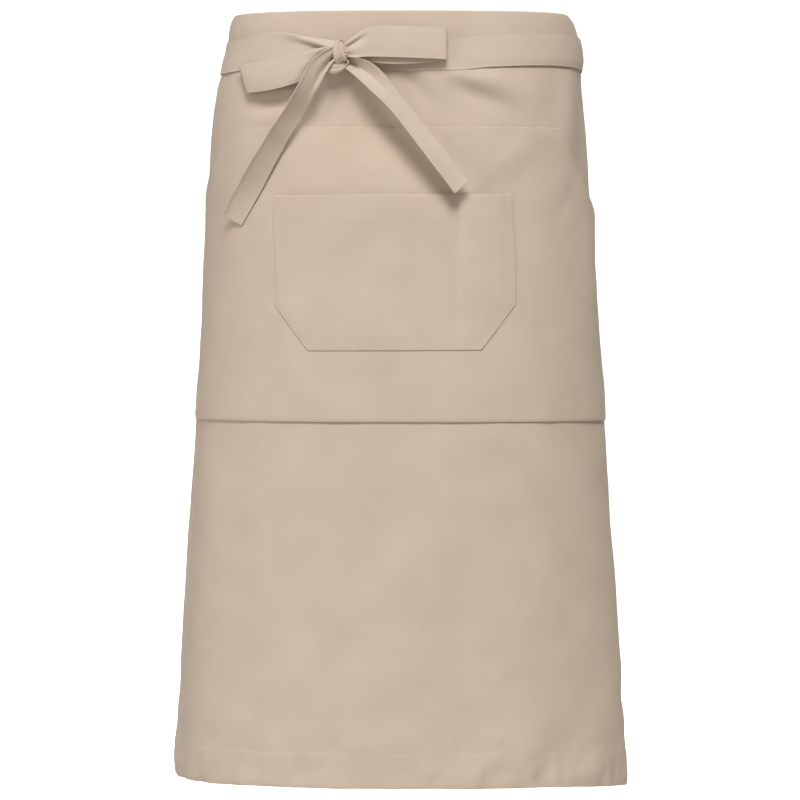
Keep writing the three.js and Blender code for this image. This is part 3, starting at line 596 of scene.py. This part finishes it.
# %% Patch pocket
POCKET_BOTTOM = POCKET_DROP + POCKET_HEIGHT
POCKET_GAPE, EDGE_STITCH, POCKET_TILT = 1.6 * MM, 2 * MM, 0.004
DIVIDER = POCKET_SHIFT + POCKET_WIDTH / 2 - DIVIDER_INSET


POCKET_SIDES = table("""
drop left right
0 1.8 -1.7
0.16 0.2 -0.5
0.35 2.3 1.6
0.5 2.6 2.6
0.71 2.8 1.8
1 2.8 1.8
""")  # how a real pocket's sides wander, in millimetres at shares of its height


def pocket_side(side, drop):
    cut = np.clip((drop - POCKET_BOTTOM + CORNER_HEIGHT) / CORNER_HEIGHT, 0, 1)
    wander = read(POCKET_SIDES, "drop", "left" if side < 0 else "right", (drop - POCKET_DROP) / POCKET_HEIGHT)
    return POCKET_SHIFT + side * (POCKET_WIDTH / 2 - CORNER_WIDTH * cut) + wander * MM


def pocket_edge(across, drop):
    """The shortest way to the pocket's sides, cut corners or bottom."""
    side = np.minimum(across - pocket_side(-1, drop), pocket_side(1, drop) - across)
    cut = drop > POCKET_BOTTOM - CORNER_HEIGHT
    slant = side * np.where(cut, CORNER_HEIGHT / math.hypot(CORNER_WIDTH, CORNER_HEIGHT), 1)
    return np.minimum(slant, POCKET_BOTTOM - drop)


def pocket_stand(across, drop):
    edge, mouth = pocket_edge(across, drop), drop - POCKET_DROP
    divider = np.abs(across - DIVIDER)
    free = ramp(0, 28 * MM, edge) * ramp(0, 26 * MM, divider)
    gape = POCKET_GAPE * free * (1 - ramp(0, POCKET_HEIGHT / 2, mouth))
    loose = 0.8 * MM * ramp(2 * MM, 18 * MM, edge) * ramp(0, 14 * MM, divider)
    fold = 0.06 * MM * ramp(POCKET_HEM_FOLD + MM, POCKET_HEM_FOLD - MM, mouth)
    rim = sewn(edge - EDGE_STITCH, across + drop, 0.9, 15)
    hem = 0.25 * sewn(mouth - POCKET_HEM_FOLD, across, 0.7, 16)
    slot = sewn(across - DIVIDER, drop, 0.8, 17)
    roll = rolled(np.minimum(edge, mouth))
    return pouch_stand(across, drop) + LAID + gape + loose + fold + rim + hem + slot + roll


def place_pocket(column, drop):
    left, right = pocket_side(-1, drop), pocket_side(1, drop)
    across = left + (right - left) * (column + 1) / 2
    height = TOP_RISE - drop + POCKET_TILT * (across - POCKET_SHIFT)
    return across, drop, on_cloth(across, height, pocket_stand(across, drop))


rim_share = 1 - EDGE_STITCH / (POCKET_WIDTH / 2)
slot_share = (DIVIDER - POCKET_SHIFT) / (POCKET_WIDTH / 2)
pocket_columns = graded(-1, 1, 0.022, (-1, -rim_share, slot_share, rim_share, 1), 0.0055)
pocket_marks = (
    POCKET_DROP, POCKET_DROP + POCKET_HEM_FOLD, POCKET_BOTTOM - CORNER_HEIGHT, POCKET_BOTTOM - EDGE_STITCH
)
pocket_rows = graded(POCKET_DROP, POCKET_BOTTOM, 2.6 * MM, pocket_marks)
pocket = lay_cloth("pocket_cloth", pocket_columns, pocket_rows, place_pocket)
rim_drops = np.linspace(POCKET_DROP + MM, POCKET_BOTTOM - EDGE_STITCH, 200)
for side in (-1, 1):
    seam("pocket", place_pocket, side * rim_share, rim_drops, tiny)
    rim_ends = (POCKET_DROP + MM, POCKET_DROP + 9 * MM)
    bartack("pocket", place_pocket, (side * rim_share,) * 2, rim_ends, tiny)
for drop in (POCKET_BOTTOM - EDGE_STITCH, POCKET_DROP + POCKET_HEM_FOLD):
    seam("pocket", place_pocket, np.linspace(-rim_share, rim_share, 150), drop, tiny)
seam("pocket", place_pocket, slot_share, rim_drops, tiny)
bartack("pocket", place_pocket, (slot_share,) * 2, (POCKET_DROP + MM, POCKET_DROP + 16 * MM), tiny)

# %% [markdown]
# ## The strings
# Each string is a strip folded into four, 33 mm wide and stitched along both edges. It is sewn on an end of
# the band behind, passes the other one at the middle of the back, and comes round to the knot. A ribbon is a
# grid too: its rows run along the string, and each point across its width has its own stand.

# %% A ribbon of cloth
RIBBON_STITCH = 2.2 * MM
RIBBON_EDGE = np.array([0.5, 0.47, 0.44, 0.41])  # shares of the width, closer at the fold


def ribbon(name, steps, across_count, stand_of, length):
    """A ribbon through steps of across, height, stand, width, lean and turn, read at shares of its length."""
    def place(share, q):
        at = {key: np.interp(share, steps["share"], values) for key, values in steps.items()}
        if "round" in at:  # past the middle of the back it is counted from the other side
            half = at["round"] / 2
            at["across"] = np.where(at["across"] > half, at["across"] - 2 * half, at["across"])
            at["across"] = np.where(at["across"] < -half, at["across"] + 2 * half, at["across"])
        lean, turn = np.radians(at["lean"]), np.radians(at["turn"])
        flat = q * at["width"] * np.cos(turn)
        stand = at["stand"] + q * at["width"] * np.sin(turn) + stand_of(share, q, at)
        inset = STRING_WIDTH * (0.5 - np.abs(q)) - RIBBON_STITCH
        stand = stand + 0.7 * sewn(inset, share * length, 0.4, 18)
        across, height = at["across"] + flat * np.sin(lean), at["height"] + flat * np.cos(lean)
        points = on_cloth(across, height, stand, creased=False)
        return share * length, q * STRING_WIDTH, points

    columns = np.linspace(0, 1, int(length / (3 * MM)) + 1)
    rows = np.concatenate([RIBBON_EDGE, np.linspace(0.36, -0.36, across_count), -RIBBON_EDGE[::-1]])
    shares = np.linspace(0.004, 0.996, int(length / (2 * MM)))
    stitched = 0.5 - RIBBON_STITCH / STRING_WIDTH
    for edge in (-1, 1):
        seam("strings", place, shares, edge * stitched, (0.0005, 0.01), STRING_CLOTH)
    return lay_cloth(name, columns, rows, place, STRING_CLOTH)


def spline(rows, count):
    """Every column of a table, read smoothly at evenly spread steps from its first row to its last."""
    last = len(next(iter(rows.values()))) - 1
    where = np.linspace(0, last, count)
    k = np.minimum(where.astype(int), last - 1)
    t = where - k
    read_all = {"share": where / last}
    for key, y in rows.items():
        before, start, end, after = y[np.maximum(k - 1, 0)], y[k], y[k + 1], y[np.minimum(k + 2, last)]
        read_all[key] = smooth_step(t, start, end - start, (end - before) / 2, (after - start) / 2)
    return read_all


# %% Where the strings run
GAP = 0.35 * MM
ON_BAND, OVER_STRING, INTO_KNOT = 3.2 * MM, 4.9 * MM, 5.2 * MM
KNOT_ACROSS, KNOT_RISE, KNOT_WIDTH = -59 * MM, MM, 19 * MM
LEFT_STRING_RUN = table("""
before rise width
0 0.06 0.46
1 0 0.9
2 -0.02 1
3.3 -0.02 1
4.5 0.09 1
6.5 0.16 1
9 0.07 1
11 0 1
""")
RIGHT_STRING_RUN = table("""
before rise width
0 0.18 0.42
0.9 0.21 0.62
1.7 0.25 0.86
2.4 0.18 1
3.2 0.05 1
4.5 -0.02 1
6 0 1
""")


def string_steps(side, run, count=700):
    """Steps from the end sewn on the band to the knot. A side of -1 starts at the band's left end."""
    full, back_gap = WAIST_ROUND, WAIST_ROUND - SKIRT_WIDTH
    start = SKIRT_HALF - STRING_SEWN
    knot = full + KNOT_ACROSS if side > 0 else full - KNOT_ACROSS
    length = knot - KNOT_WIDTH / 4 - start
    share = np.linspace(0, 1, count)
    gone = start + length * share
    from_back = gone - full / 2
    apart = 1 - ramp(0.12 * back_gap, 0.46 * back_gap, np.abs(from_back))
    swapped = ramp(-0.1 * back_gap, 0.1 * back_gap, from_back)
    past = ramp(0, STRING_SEWN, gone - (full / 2 + back_gap / 2 + 2 * STRING_SEWN))
    ahead = np.minimum((knot - KNOT_WIDTH / 4 - gone) / STRING_WIDTH, run["before"][-1])
    over = (OVER_STRING - ON_BAND) * swapped * (1 - past)
    rise = STRING_WIDTH * read(run, "before", "rise", ahead)
    steps = {
        "share": share,
        "across": side * gone,
        "round": np.full(count, full),
        "height": -side * apart * (STRING_WIDTH / 2 + 2 * GAP) + rise,
        "stand": ON_BAND + over + INTO_KNOT * (1 - ramp(0, 1, ahead)),
        "width": STRING_WIDTH * read(run, "before", "width", ahead),
        "lean": np.zeros(count),
        "turn": np.zeros(count),
        "ahead": ahead,
    }
    return steps, length


# %% Strings
def string_stand(share, q, at):
    """The string's lower edge sinks past the band's foot, and its width wavers a little."""
    height = at["height"] + q * at["width"]
    foot = TOP_RISE - BAND_HEIGHT
    behind = np.abs(at["across"]) > SKIRT_HALF
    sink = -1.3 * MM * ramp(foot + 2 * MM, foot - 10 * MM, height) * ~behind
    return sink + 0.3 * MM * soft_noise(share * 0.6, q * STRING_WIDTH, 22 * MM, 51)


def folded_string_stand(share, q, at):
    """Towards the knot a ridge comes forward: the string faces up above it and falls back below it."""
    near = np.clip(1 - (at["ahead"] - 0.1) / 1.9, 0, 1) ** 2.6
    ridge = 0.5 - 0.58 * near
    above = np.clip((0.5 - q) / np.maximum(0.5 - ridge, 0.03), 0, 1)
    below = 1 - 1.15 * ramp(0, 0.34, ridge - q)
    return string_stand(share, q, at) + 6 * MM * near**0.4 * np.where(q > ridge, above, below)


left_steps, left_length = string_steps(-1, LEFT_STRING_RUN)
right_steps, right_length = string_steps(1, RIGHT_STRING_RUN)
string_left = ribbon("string_sewn_left", left_steps, 9, string_stand, left_length)
string_right = ribbon("string_sewn_right", right_steps, 11, folded_string_stand, right_length)
print("strings from band to knot:", round(left_length, 3), "and", round(right_length, 3), "m")

# %% [markdown]
# ## The bow
# Each loop goes out from the knot and comes back behind itself, and each tail hangs from it. Where a 33 mm
# string passes into the narrow knot it gathers, so the ribbon's width narrows in the table while pleats
# grow across it. The tails are cupped along their length, and near the knot they are nearly folded in two.

# %% Loops
UNDER_BOW = 5.3 * MM
LOOP_FULLNESS = 11 * MM
LEFT_LOOP_LENGTH, RIGHT_LOOP_LENGTH = 104 * MM, 106 * MM
OUT_AND_BACK = 2.1  # the string's length in a loop, for each length of the loop
LEFT_LOOP = table("""
out rise clear width lean
0.03 0.02 0.9 0.34 -4
0.2 -0.16 0.95 0.56 -8
0.42 -0.46 0.72 0.88 -10
0.7 -0.67 0.46 0.95 -12
0.96 -0.77 0.36 0.93 -15
1.01 -0.8 0.12 0.93 -15
0.96 -0.78 -0.1 0.93 -15
0.7 -0.65 -0.1 0.95 -12
0.42 -0.44 0.06 0.84 -10
0.2 -0.16 0.5 0.5 -8
0.03 -0.02 0.72 0.3 -4
""")
RIGHT_LOOP = table("""
out rise clear width lean
0.03 0.06 0.95 0.36 4
0.14 0.17 1.1 0.7 2
0.26 0.31 1.05 0.92 1
0.45 0.33 0.88 0.98 0
0.75 0.3 0.72 0.98 0
0.965 0.27 0.6 0.98 0
1 0.26 0.4 0.98 0
0.96 0.24 0.22 0.98 0
0.75 0.15 0.26 0.98 0
0.45 0.12 0.4 0.96 0
0.26 0.14 0.55 0.86 1
0.03 0.1 0.76 0.32 2
""")


def bow_steps(at, along, up, clear, turn):
    """Steps of a ribbon that leaves the knot, from its ways along, up and clear of what it lies on."""
    return at | {
        "across": KNOT_ACROSS + along,
        "height": KNOT_RISE + up,
        "stand": UNDER_BOW + STRING_CLOTH / 2 + clear,
        "width": at["width"] * STRING_WIDTH,
        "turn": turn,
    }


def loop(name, rows, side, length, tilt, stand_of):
    at = spline(rows, 241)
    way, up = side * at["out"] * length, at["rise"] * STRING_WIDTH
    steps = bow_steps(at, way, up, at["clear"] * LOOP_FULLNESS, tilt * at["out"])
    return ribbon(name, steps, 15, stand_of, OUT_AND_BACK * length)


def pleats(q, gathered, count, phase, deep):
    """Folds across the ribbon, as deep as its gathering asks for."""
    return deep * gathered * np.cos(2 * math.pi * (count * q + phase))


def left_loop_stand(share, q, at):
    gathered = np.clip(1 - at["width"] / STRING_WIDTH, 0, 1)
    front = 1 - ramp(0.42, 0.5, share)
    border = 0.45 - 0.95 * ramp(0.02, 0.58, at["out"])
    tuck = -6.5 * MM * ramp(border + 0.08, border - 0.34, q) * (1 - ramp(0.3, 0.62, at["out"])) * front
    belly = 0.6 * MM * np.cos(math.pi * q) * np.sin(math.pi * np.clip(at["out"], 0, 1))
    return tuck + belly + pleats(q, gathered, 2.5, 0.1, 0.7 * MM)


def right_loop_stand(share, q, at):
    gathered = np.clip(1 - at["width"] / STRING_WIDTH, 0, 1)
    belly = 0.7 * MM * np.cos(math.pi * q) * np.sin(math.pi * np.clip(at["out"], 0, 1))
    crease = -3.2 * MM * bell(q, 0.2, 0.1) * bell(at["out"], 0.13, 0.09) * (share < 0.5)
    return belly + crease + pleats(q, gathered, 2.2, 0.32, 2.2 * MM)


left_loop = loop("bow_loop_left", LEFT_LOOP, -1, LEFT_LOOP_LENGTH, 8, left_loop_stand)
right_loop = loop("bow_loop_right", RIGHT_LOOP, 1, RIGHT_LOOP_LENGTH, 0, right_loop_stand)

# %% Tails
LEFT_TAIL_LENGTH, RIGHT_TAIL_LENGTH = 202 * MM, 178 * MM
LEFT_TAIL = table("""
along down clear width lean turn
-0.02 0 0.5 0.34 -40 8
-0.09 0.071 0.42 0.54 -52 26
-0.168 0.217 0.28 0.66 -52 50
-0.292 0.412 0.08 0.7 -56 52
-0.436 0.639 -0.06 0.7 -60 44
-0.585 0.85 -0.06 0.64 -62 24
""")
RIGHT_TAIL = table("""
along down clear width lean turn
0.03 0.04 0.12 0.46 54 -4
0.155 0.125 0.14 0.66 46 -8
0.308 0.291 0.2 0.66 46 -34
0.498 0.538 0.3 0.68 47 -36
0.68 0.775 0.32 0.64 50 -20
""")


def tail(name, rows, length, stand_of):
    """A tail whose nearer edge keeps its place when it turns."""
    at = spline(rows, 161)
    raised = at["width"] * STRING_WIDTH / 2 * np.abs(np.sin(np.radians(at["turn"])))
    clear = at["clear"] * STRING_WIDTH + raised
    steps = bow_steps(at, at["along"] * length, -at["down"] * length, clear, at["turn"])
    return ribbon(name, steps, 13, stand_of, length)


def end_hem(share, length):
    """The turned and stitched end of a tail, 5 mm deep."""
    to_end = (1 - share) * length
    return 0.35 * MM * ramp(6 * MM, 4.5 * MM, to_end) + 0.6 * sewn(to_end - 5 * MM, to_end, 0, 19)


def left_tail_stand(share, q, at):
    rim = 1.2 * MM * bell(q, 0.5, 0.06)
    valley = -9 * MM * bell(q, -0.2, 0.13) * (1 - ramp(0.08, 0.42, share))
    bands = -1.4 * MM * (bell(share, 0.46, 0.045) + bell(share, 0.66, 0.045))
    cup = 2.2 * MM * (4 * q * q - 0.4) * (1 - share * 0.6)
    return cup + rim + valley + bands + end_hem(share, LEFT_TAIL_LENGTH)


def right_tail_stand(share, q, at):
    deep = 8.5 * MM * (1 - ramp(0.2, 0.6, share)) + 1.6 * MM
    valley = np.sqrt((q + 0.04) ** 2 + 0.006) - 0.25
    return deep * 2 * valley + end_hem(share, RIGHT_TAIL_LENGTH)


left_tail = tail("bow_tail_left", LEFT_TAIL, LEFT_TAIL_LENGTH, left_tail_stand)
right_tail = tail("bow_tail_right", RIGHT_TAIL, RIGHT_TAIL_LENGTH, right_tail_stand)

# %% [markdown]
# ## The knot
# The knot is the same string, bunched: a wrap of three pleats that stands upright in front, the core that it
# goes round, and a lump below where the tails leave. Each is a tube with a lobed section, swept on a curve.

# %% A bunched string
KNOT_STAND = 14.95 * MM


def knot_frame():
    """The knot's middle, and its ways right, up and out."""
    points = on_cloth(np.array([KNOT_ACROSS - MM, KNOT_ACROSS + MM, KNOT_ACROSS]), KNOT_RISE, KNOT_STAND)
    right = Vector(points[1] - points[0]).normalized()
    up = Vector((0, 0, 1))
    return Vector(points[2]), right, up, right.cross(up)


def bunch(path, notches, deep, around=72, along=48):
    """A swept tube with pleats: its path gives right, up, out, wide and thick, in mm from the knot's middle."""
    middle, right, up, out = knot_frame()
    bm = bmesh.new()
    bmesh.ops.create_grid(bm, x_segments=around, y_segments=along, size=1)
    smooth = spline({name: values * MM for name, values in path.items()}, 161)
    at = lambda share, key: float(np.interp(min(max(share, 0), 1), smooth["share"], smooth[key]))
    spot = lambda share: Vector([at(share, key) for key in ("right", "up", "out")])
    for vert in bm.verts:
        share = (vert.co.y + 1) / 2
        angle = math.pi * (vert.co.x + 0.5)
        way = (spot(share + 0.02) - spot(share - 0.02)).normalized()
        side = way.cross(Vector((0, 0, 1)))
        side = side.normalized() if side.length > 0.3 else Vector((1, 0, 0))
        front = side.cross(way).normalized()
        if front.z < 0 and abs(way.z) < 0.9:
            front.negate()
        across = math.cos(angle)
        notched = sum(math.exp(-(((across - notch) / 0.13) ** 2)) for notch in notches)
        pinch = 0.3 + 0.7 * math.sin(math.pi * min(max(share, 0.03), 0.97)) ** 0.35
        wide, thick = at(share, "wide") / 2 * pinch, at(share, "thick") / 2 * pinch
        local = spot(share) + side * wide * across + front * (thick * (1 - deep * notched) * math.sin(angle))
        vert.co = middle + right * local.x + up * local.y + out * local.z
    bmesh.ops.remove_doubles(bm, verts=bm.verts, dist=1e-6)
    ends = [edge for edge in bm.edges if edge.is_boundary]
    bmesh.ops.holes_fill(bm, edges=ends, sides=0)
    bmesh.ops.recalc_face_normals(bm, faces=bm.faces)
    return bm


def smooth_object(name, bm):
    mesh = bpy.data.meshes.new(name)
    bm.to_mesh(mesh)
    bm.free()
    mesh.shade_smooth()
    print(f"{name}: {len(mesh.polygons)} faces")
    return add_object(name, mesh)


def joined(name, parts):
    """One object from several bmeshes."""
    whole = bmesh.new()
    for part in parts:
        mesh = bpy.data.meshes.new("part")
        part.to_mesh(mesh)
        part.free()
        whole.from_mesh(mesh)
        bpy.data.meshes.remove(mesh)
    return smooth_object(name, whole)


# %% Knot
WRAP = table("""
right up out wide thick
1 4 -6 7 4
0.5 9 -2.5 7 4
0 10 3 8 5
-0.5 6.5 7 10 5.5
-0.5 0 8.5 11.5 5.5
0.5 -5.5 8 13 5.5
1.5 -9.5 4.5 14 5
2 -10 -1 13 4
2 -8 -6 10 4
""")
CORE = table("""
right up out wide thick
-8 3.5 0 7 4
-5 3.5 2 9 6
0 1.5 2.5 13 8
6 -1 1.5 11 7
10 -1.5 -1 9 5
""")
LUMP = table("""
right up out wide thick
-14 -8 -3 10 6
-11.5 -12.5 0.5 14 6.5
-7 -15 2.5 15 7
-1.5 -15 2.5 12 6.5
4 -12.5 1 8.5 5.5
8 -9 -2 6 5
""")
knot = joined("bow_knot_cloth", [
    bunch(WRAP, (-0.36, 0.04), 0.85),
    bunch(CORE, (-0.5, 0.1, 0.6), 0.3),
    bunch(LUMP, (-0.6, 0.3), 0.26),
])

# %% [markdown]
# ## The stitches
# Lockstitches about 2.8 mm long run beside every edge, in thread of the cloth's colour. A stitch is a tiny
# ellipsoid made once by an operator. It is copied along each seam, sunk a little into the dip that the seam
# makes, so that the dip and the thread show together when the apron is seen close.

# %% Stitches along a line
STITCH_LENGTH, THREAD = 2.3 * MM, 0.42 * MM


def stitch_shape():
    """One stitch, longest along x, as a mesh that can be copied."""
    bm = bmesh.new()
    bmesh.ops.create_uvsphere(bm, u_segments=6, v_segments=4, radius=0.5)
    bmesh.ops.rotate(bm, verts=bm.verts, cent=(0, 0, 0), matrix=Matrix.Rotation(math.pi / 2, 3, "Y"))
    bmesh.ops.scale(bm, verts=bm.verts, vec=(STITCH_LENGTH, THREAD, THREAD * 0.75))
    mesh = bpy.data.meshes.new("stitch")
    bm.to_mesh(mesh)
    bm.free()
    return mesh


def sew(bm, stitch, points, outward, pitch):
    """Adds stitches along a line of points, each with its way out of the cloth."""
    gone = np.concatenate([[0], np.cumsum(np.linalg.norm(np.diff(points, axis=0), axis=1))])
    at = lambda where, values: np.stack([np.interp(where, gone, values[:, k]) for k in range(3)], -1)
    places = np.arange(pitch / 2, gone[-1], pitch)
    reach = min(STITCH_LENGTH, pitch) / 3
    for middle, start, end, out in zip(
        at(places, points), at(places - reach, points), at(places + reach, points), at(places, outward)
    ):
        way = Vector(end - start).normalized()
        side = Vector(out).cross(way).normalized()
        turn = Matrix((way, side, way.cross(side))).transposed().to_4x4()
        turn.translation = Vector(middle)
        stitch.transform(turn)
        bm.from_mesh(stitch)
        stitch.transform(turn.inverted())


def thread_object(group):
    bm = bmesh.new()
    stitch = stitch_shape()
    for points, outward, pitch in SEAMS[group]:
        sew(bm, stitch, points, outward, pitch)
    return smooth_object(f"stitches_on_{group}", bm)


threads = [thread_object(group) for group in SEAMS]

# %% [markdown]
# ## Materials
# The cloth is polyester and cotton twill of 215 g/m2, piece dyed beige: matt, with a faint fuzz that catches
# light at a glancing angle. Its diagonal ribs are half a millimetre apart, too fine for the picture, so they
# are drawn about twice as coarse. The colour wanders by a few hundredths, as dyed cotton does.

# %% Colours and nodes
def paint(hex_code):
    """A colour from its sRGB hex value, made linear."""
    parts = [int(hex_code[k : k + 2], 16) / 255 for k in (1, 3, 5)]
    return tuple(p / 12.92 if p <= 0.04045 else ((p + 0.055) / 1.055) ** 2.4 for p in parts) + (1,)


def add_node(tree, kind, sockets={}, **settings):
    """Adds a node: settings name its properties, and each socket is given a value or another node's output."""
    node = tree.nodes.new(kind)
    for name, value in settings.items():
        setattr(node, name, value)
    for name, given in sockets.items():
        if isinstance(given, bpy.types.NodeSocket):
            tree.links.new(given, node.inputs[name])
        else:
            node.inputs[name].default_value = given
    return node


# %% Twill
RIB, RIB_DEPTH, SLUB, CLOUD = 1 * MM, 0.12 * MM, 3 * MM, 40 * MM  # rib to rib, its relief, thick yarns, dye


def twill(name, light, dark):
    material = bpy.data.materials.new(name)
    material.use_nodes = True
    tree = material.node_tree
    tree.nodes.clear()
    weave = add_node(tree, "ShaderNodeUVMap", uv_map="weave").outputs["UV"]
    where = add_node(tree, "ShaderNodeTexCoord").outputs["Object"]
    ribs = {"Vector": weave, "Scale": 2 * math.pi / (10 * math.sqrt(2) * RIB), "Distortion": 0.6}
    rib = add_node(tree, "ShaderNodeTexWave", ribs, bands_direction="DIAGONAL").outputs["Fac"]
    slub, cloud = (
        add_node(tree, "ShaderNodeTexNoise", {"Vector": vector, "Scale": 1 / size, "Detail": detail}).outputs["Fac"]
        for vector, size, detail in ((weave, SLUB, 3), (where, CLOUD, 4))
    )
    relief = add_node(tree, "ShaderNodeMix", {"A": rib, "B": slub, "Factor": 0.4}, data_type="FLOAT")
    height = relief.outputs["Result"]
    bump = add_node(tree, "ShaderNodeBump", {"Height": height, "Strength": 0.3, "Distance": RIB_DEPTH})
    tone = add_node(tree, "ShaderNodeValToRGB", {"Fac": cloud})
    for stop, position, colour in zip(tone.color_ramp.elements, (0.3, 0.7), (dark, light)):
        stop.position, stop.color = position, paint(colour)
    skin = add_node(tree, "ShaderNodeBsdfPrincipled", {
        "Base Color": tone.outputs["Color"],
        "Normal": bump.outputs["Normal"],
        "Roughness": 0.88,
        "Specular IOR Level": 0.25,
        "Sheen Weight": 0.12,
        "Sheen Roughness": 0.5,
    })
    add_node(tree, "ShaderNodeOutputMaterial", {"Surface": skin.outputs["BSDF"]})
    return material


body_twill = twill("piece dyed polycotton twill", "#CEBCAA", "#C9B6A3")
string_twill = twill("pressed twill of the strings", "#D0BFAD", "#CCBBA8")

# %% Sewing thread
def plain_material(name, colour, roughness, specular):
    material = bpy.data.materials.new(name)
    material.use_nodes = True
    skin = material.node_tree.nodes["Principled BSDF"]
    skin.inputs["Base Color"].default_value = paint(colour)
    skin.inputs["Roughness"].default_value = roughness
    skin.inputs["Specular IOR Level"].default_value = specular
    return material


# spun polyester, a shade lighter than the cloth and a little smoother
thread_material = plain_material("spun polyester thread", "#D3C4B2", 0.65, 0.3)
for obj in threads:
    obj.data.materials.append(thread_material)
    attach(obj, "root")

# %% Dress each piece
BODY = ((skirt, "skirt_panel"), (band, "waistband"), (pouch, "pouch_panel"), (pocket, "patch_pocket"))
TIED = (
    (string_left, "string_from_left"),
    (string_right, "string_from_right"),
    (knot, "bow_knot"),
    (left_loop, "left_loop"),
    (right_loop, "right_loop"),
    (left_tail, "left_tail"),
    (right_tail, "right_tail"),
)
for pieces, material, slot in ((BODY, body_twill, "body_cloth"), (TIED, string_twill, "string_cloth")):
    for obj, node in pieces:
        obj.data.materials.clear()
        obj.data.materials.append(material)
        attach(obj, "root")
        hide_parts(node)

# %% [markdown]
# ## The studio
# The floor is a pale sweep a metre below the waist, as if the apron were worn by someone standing. It climbs
# far behind, so that a camera that walks round the apron stays in front of it. A soft key light hangs above
# and in front, weaker ones stand low in front and at the left, and two brighten the backdrop to white.

# %% Floor and backdrop
FLOOR_DROP, SWEEP_FRONT, SWEEP_BACK, SWEEP_HALF, SWEEP_TOP, SWEEP_BEND = 1.05, 1.0, 6.4, 2.6, 1.5, 4.0
STRAIGHT, ARC = SWEEP_BACK - SWEEP_BEND + SWEEP_FRONT, SWEEP_BEND * math.pi / 2
bm = bmesh.new()
bmesh.ops.create_grid(bm, x_segments=1, y_segments=40, size=1)
for vert in bm.verts:
    gone = (vert.co.y + 1) / 2 * (STRAIGHT + ARC + SWEEP_TOP)
    angle = min(max((gone - STRAIGHT) / SWEEP_BEND, 0), math.pi / 2)
    climb = max(gone - STRAIGHT - ARC, 0)
    y = -SWEEP_FRONT + min(gone, STRAIGHT) + SWEEP_BEND * math.sin(angle)
    vert.co = (vert.co.x * SWEEP_HALF, y, -FLOOR_DROP + SWEEP_BEND * (1 - math.cos(angle)) + climb)
floor = smooth_object("studio_sweep", bm)
floor.data.materials.append(plain_material("matt white paper", "#F7F6F4", 0.9, 0.5))

# %% Lights
WHITE_SURROUND, SURROUND_STRENGTH = (1, 0.95, 0.86, 1), 0.2
LIGHTS = [  # name, place, aim, width and height, watts
    ("key above", (0.15, -3.3, 3.5), (0, 0, -0.3), (2.2, 1.7), 206),
    ("low front", (0.2, -4.3, -0.9), (0, 0, -0.6), (1.4, 1.4), 9),
    ("left side", (-2.4, -1.7, 0.2), (0, 0, -0.4), (0.8, 1.6), 17),
]
for side in (-1, 1):
    LIGHTS.append(("on the backdrop", (1.6 * side, 2.3, 0.4), (0.4 * side, 4.4, -1.0), (1.2, 2.0), 85))


def soft_light(name, place, aim, size, power):
    light = bpy.data.lights.new(name, "AREA")
    light.shape, light.size, light.size_y, light.energy = "RECTANGLE", size[0], size[1], power
    obj = add_object(name, light)
    obj.location = place
    obj.rotation_euler = (Vector(aim) - Vector(place)).to_track_quat("-Z", "Y").to_euler()


for light in LIGHTS:
    soft_light(*light)
world = bpy.data.worlds.new("white surround")
world.use_nodes = True
world.node_tree.nodes["Background"].inputs["Color"].default_value = WHITE_SURROUND
world.node_tree.nodes["Background"].inputs["Strength"].default_value = SURROUND_STRENGTH
scene.world = world
scene.view_settings.view_transform = "Standard"
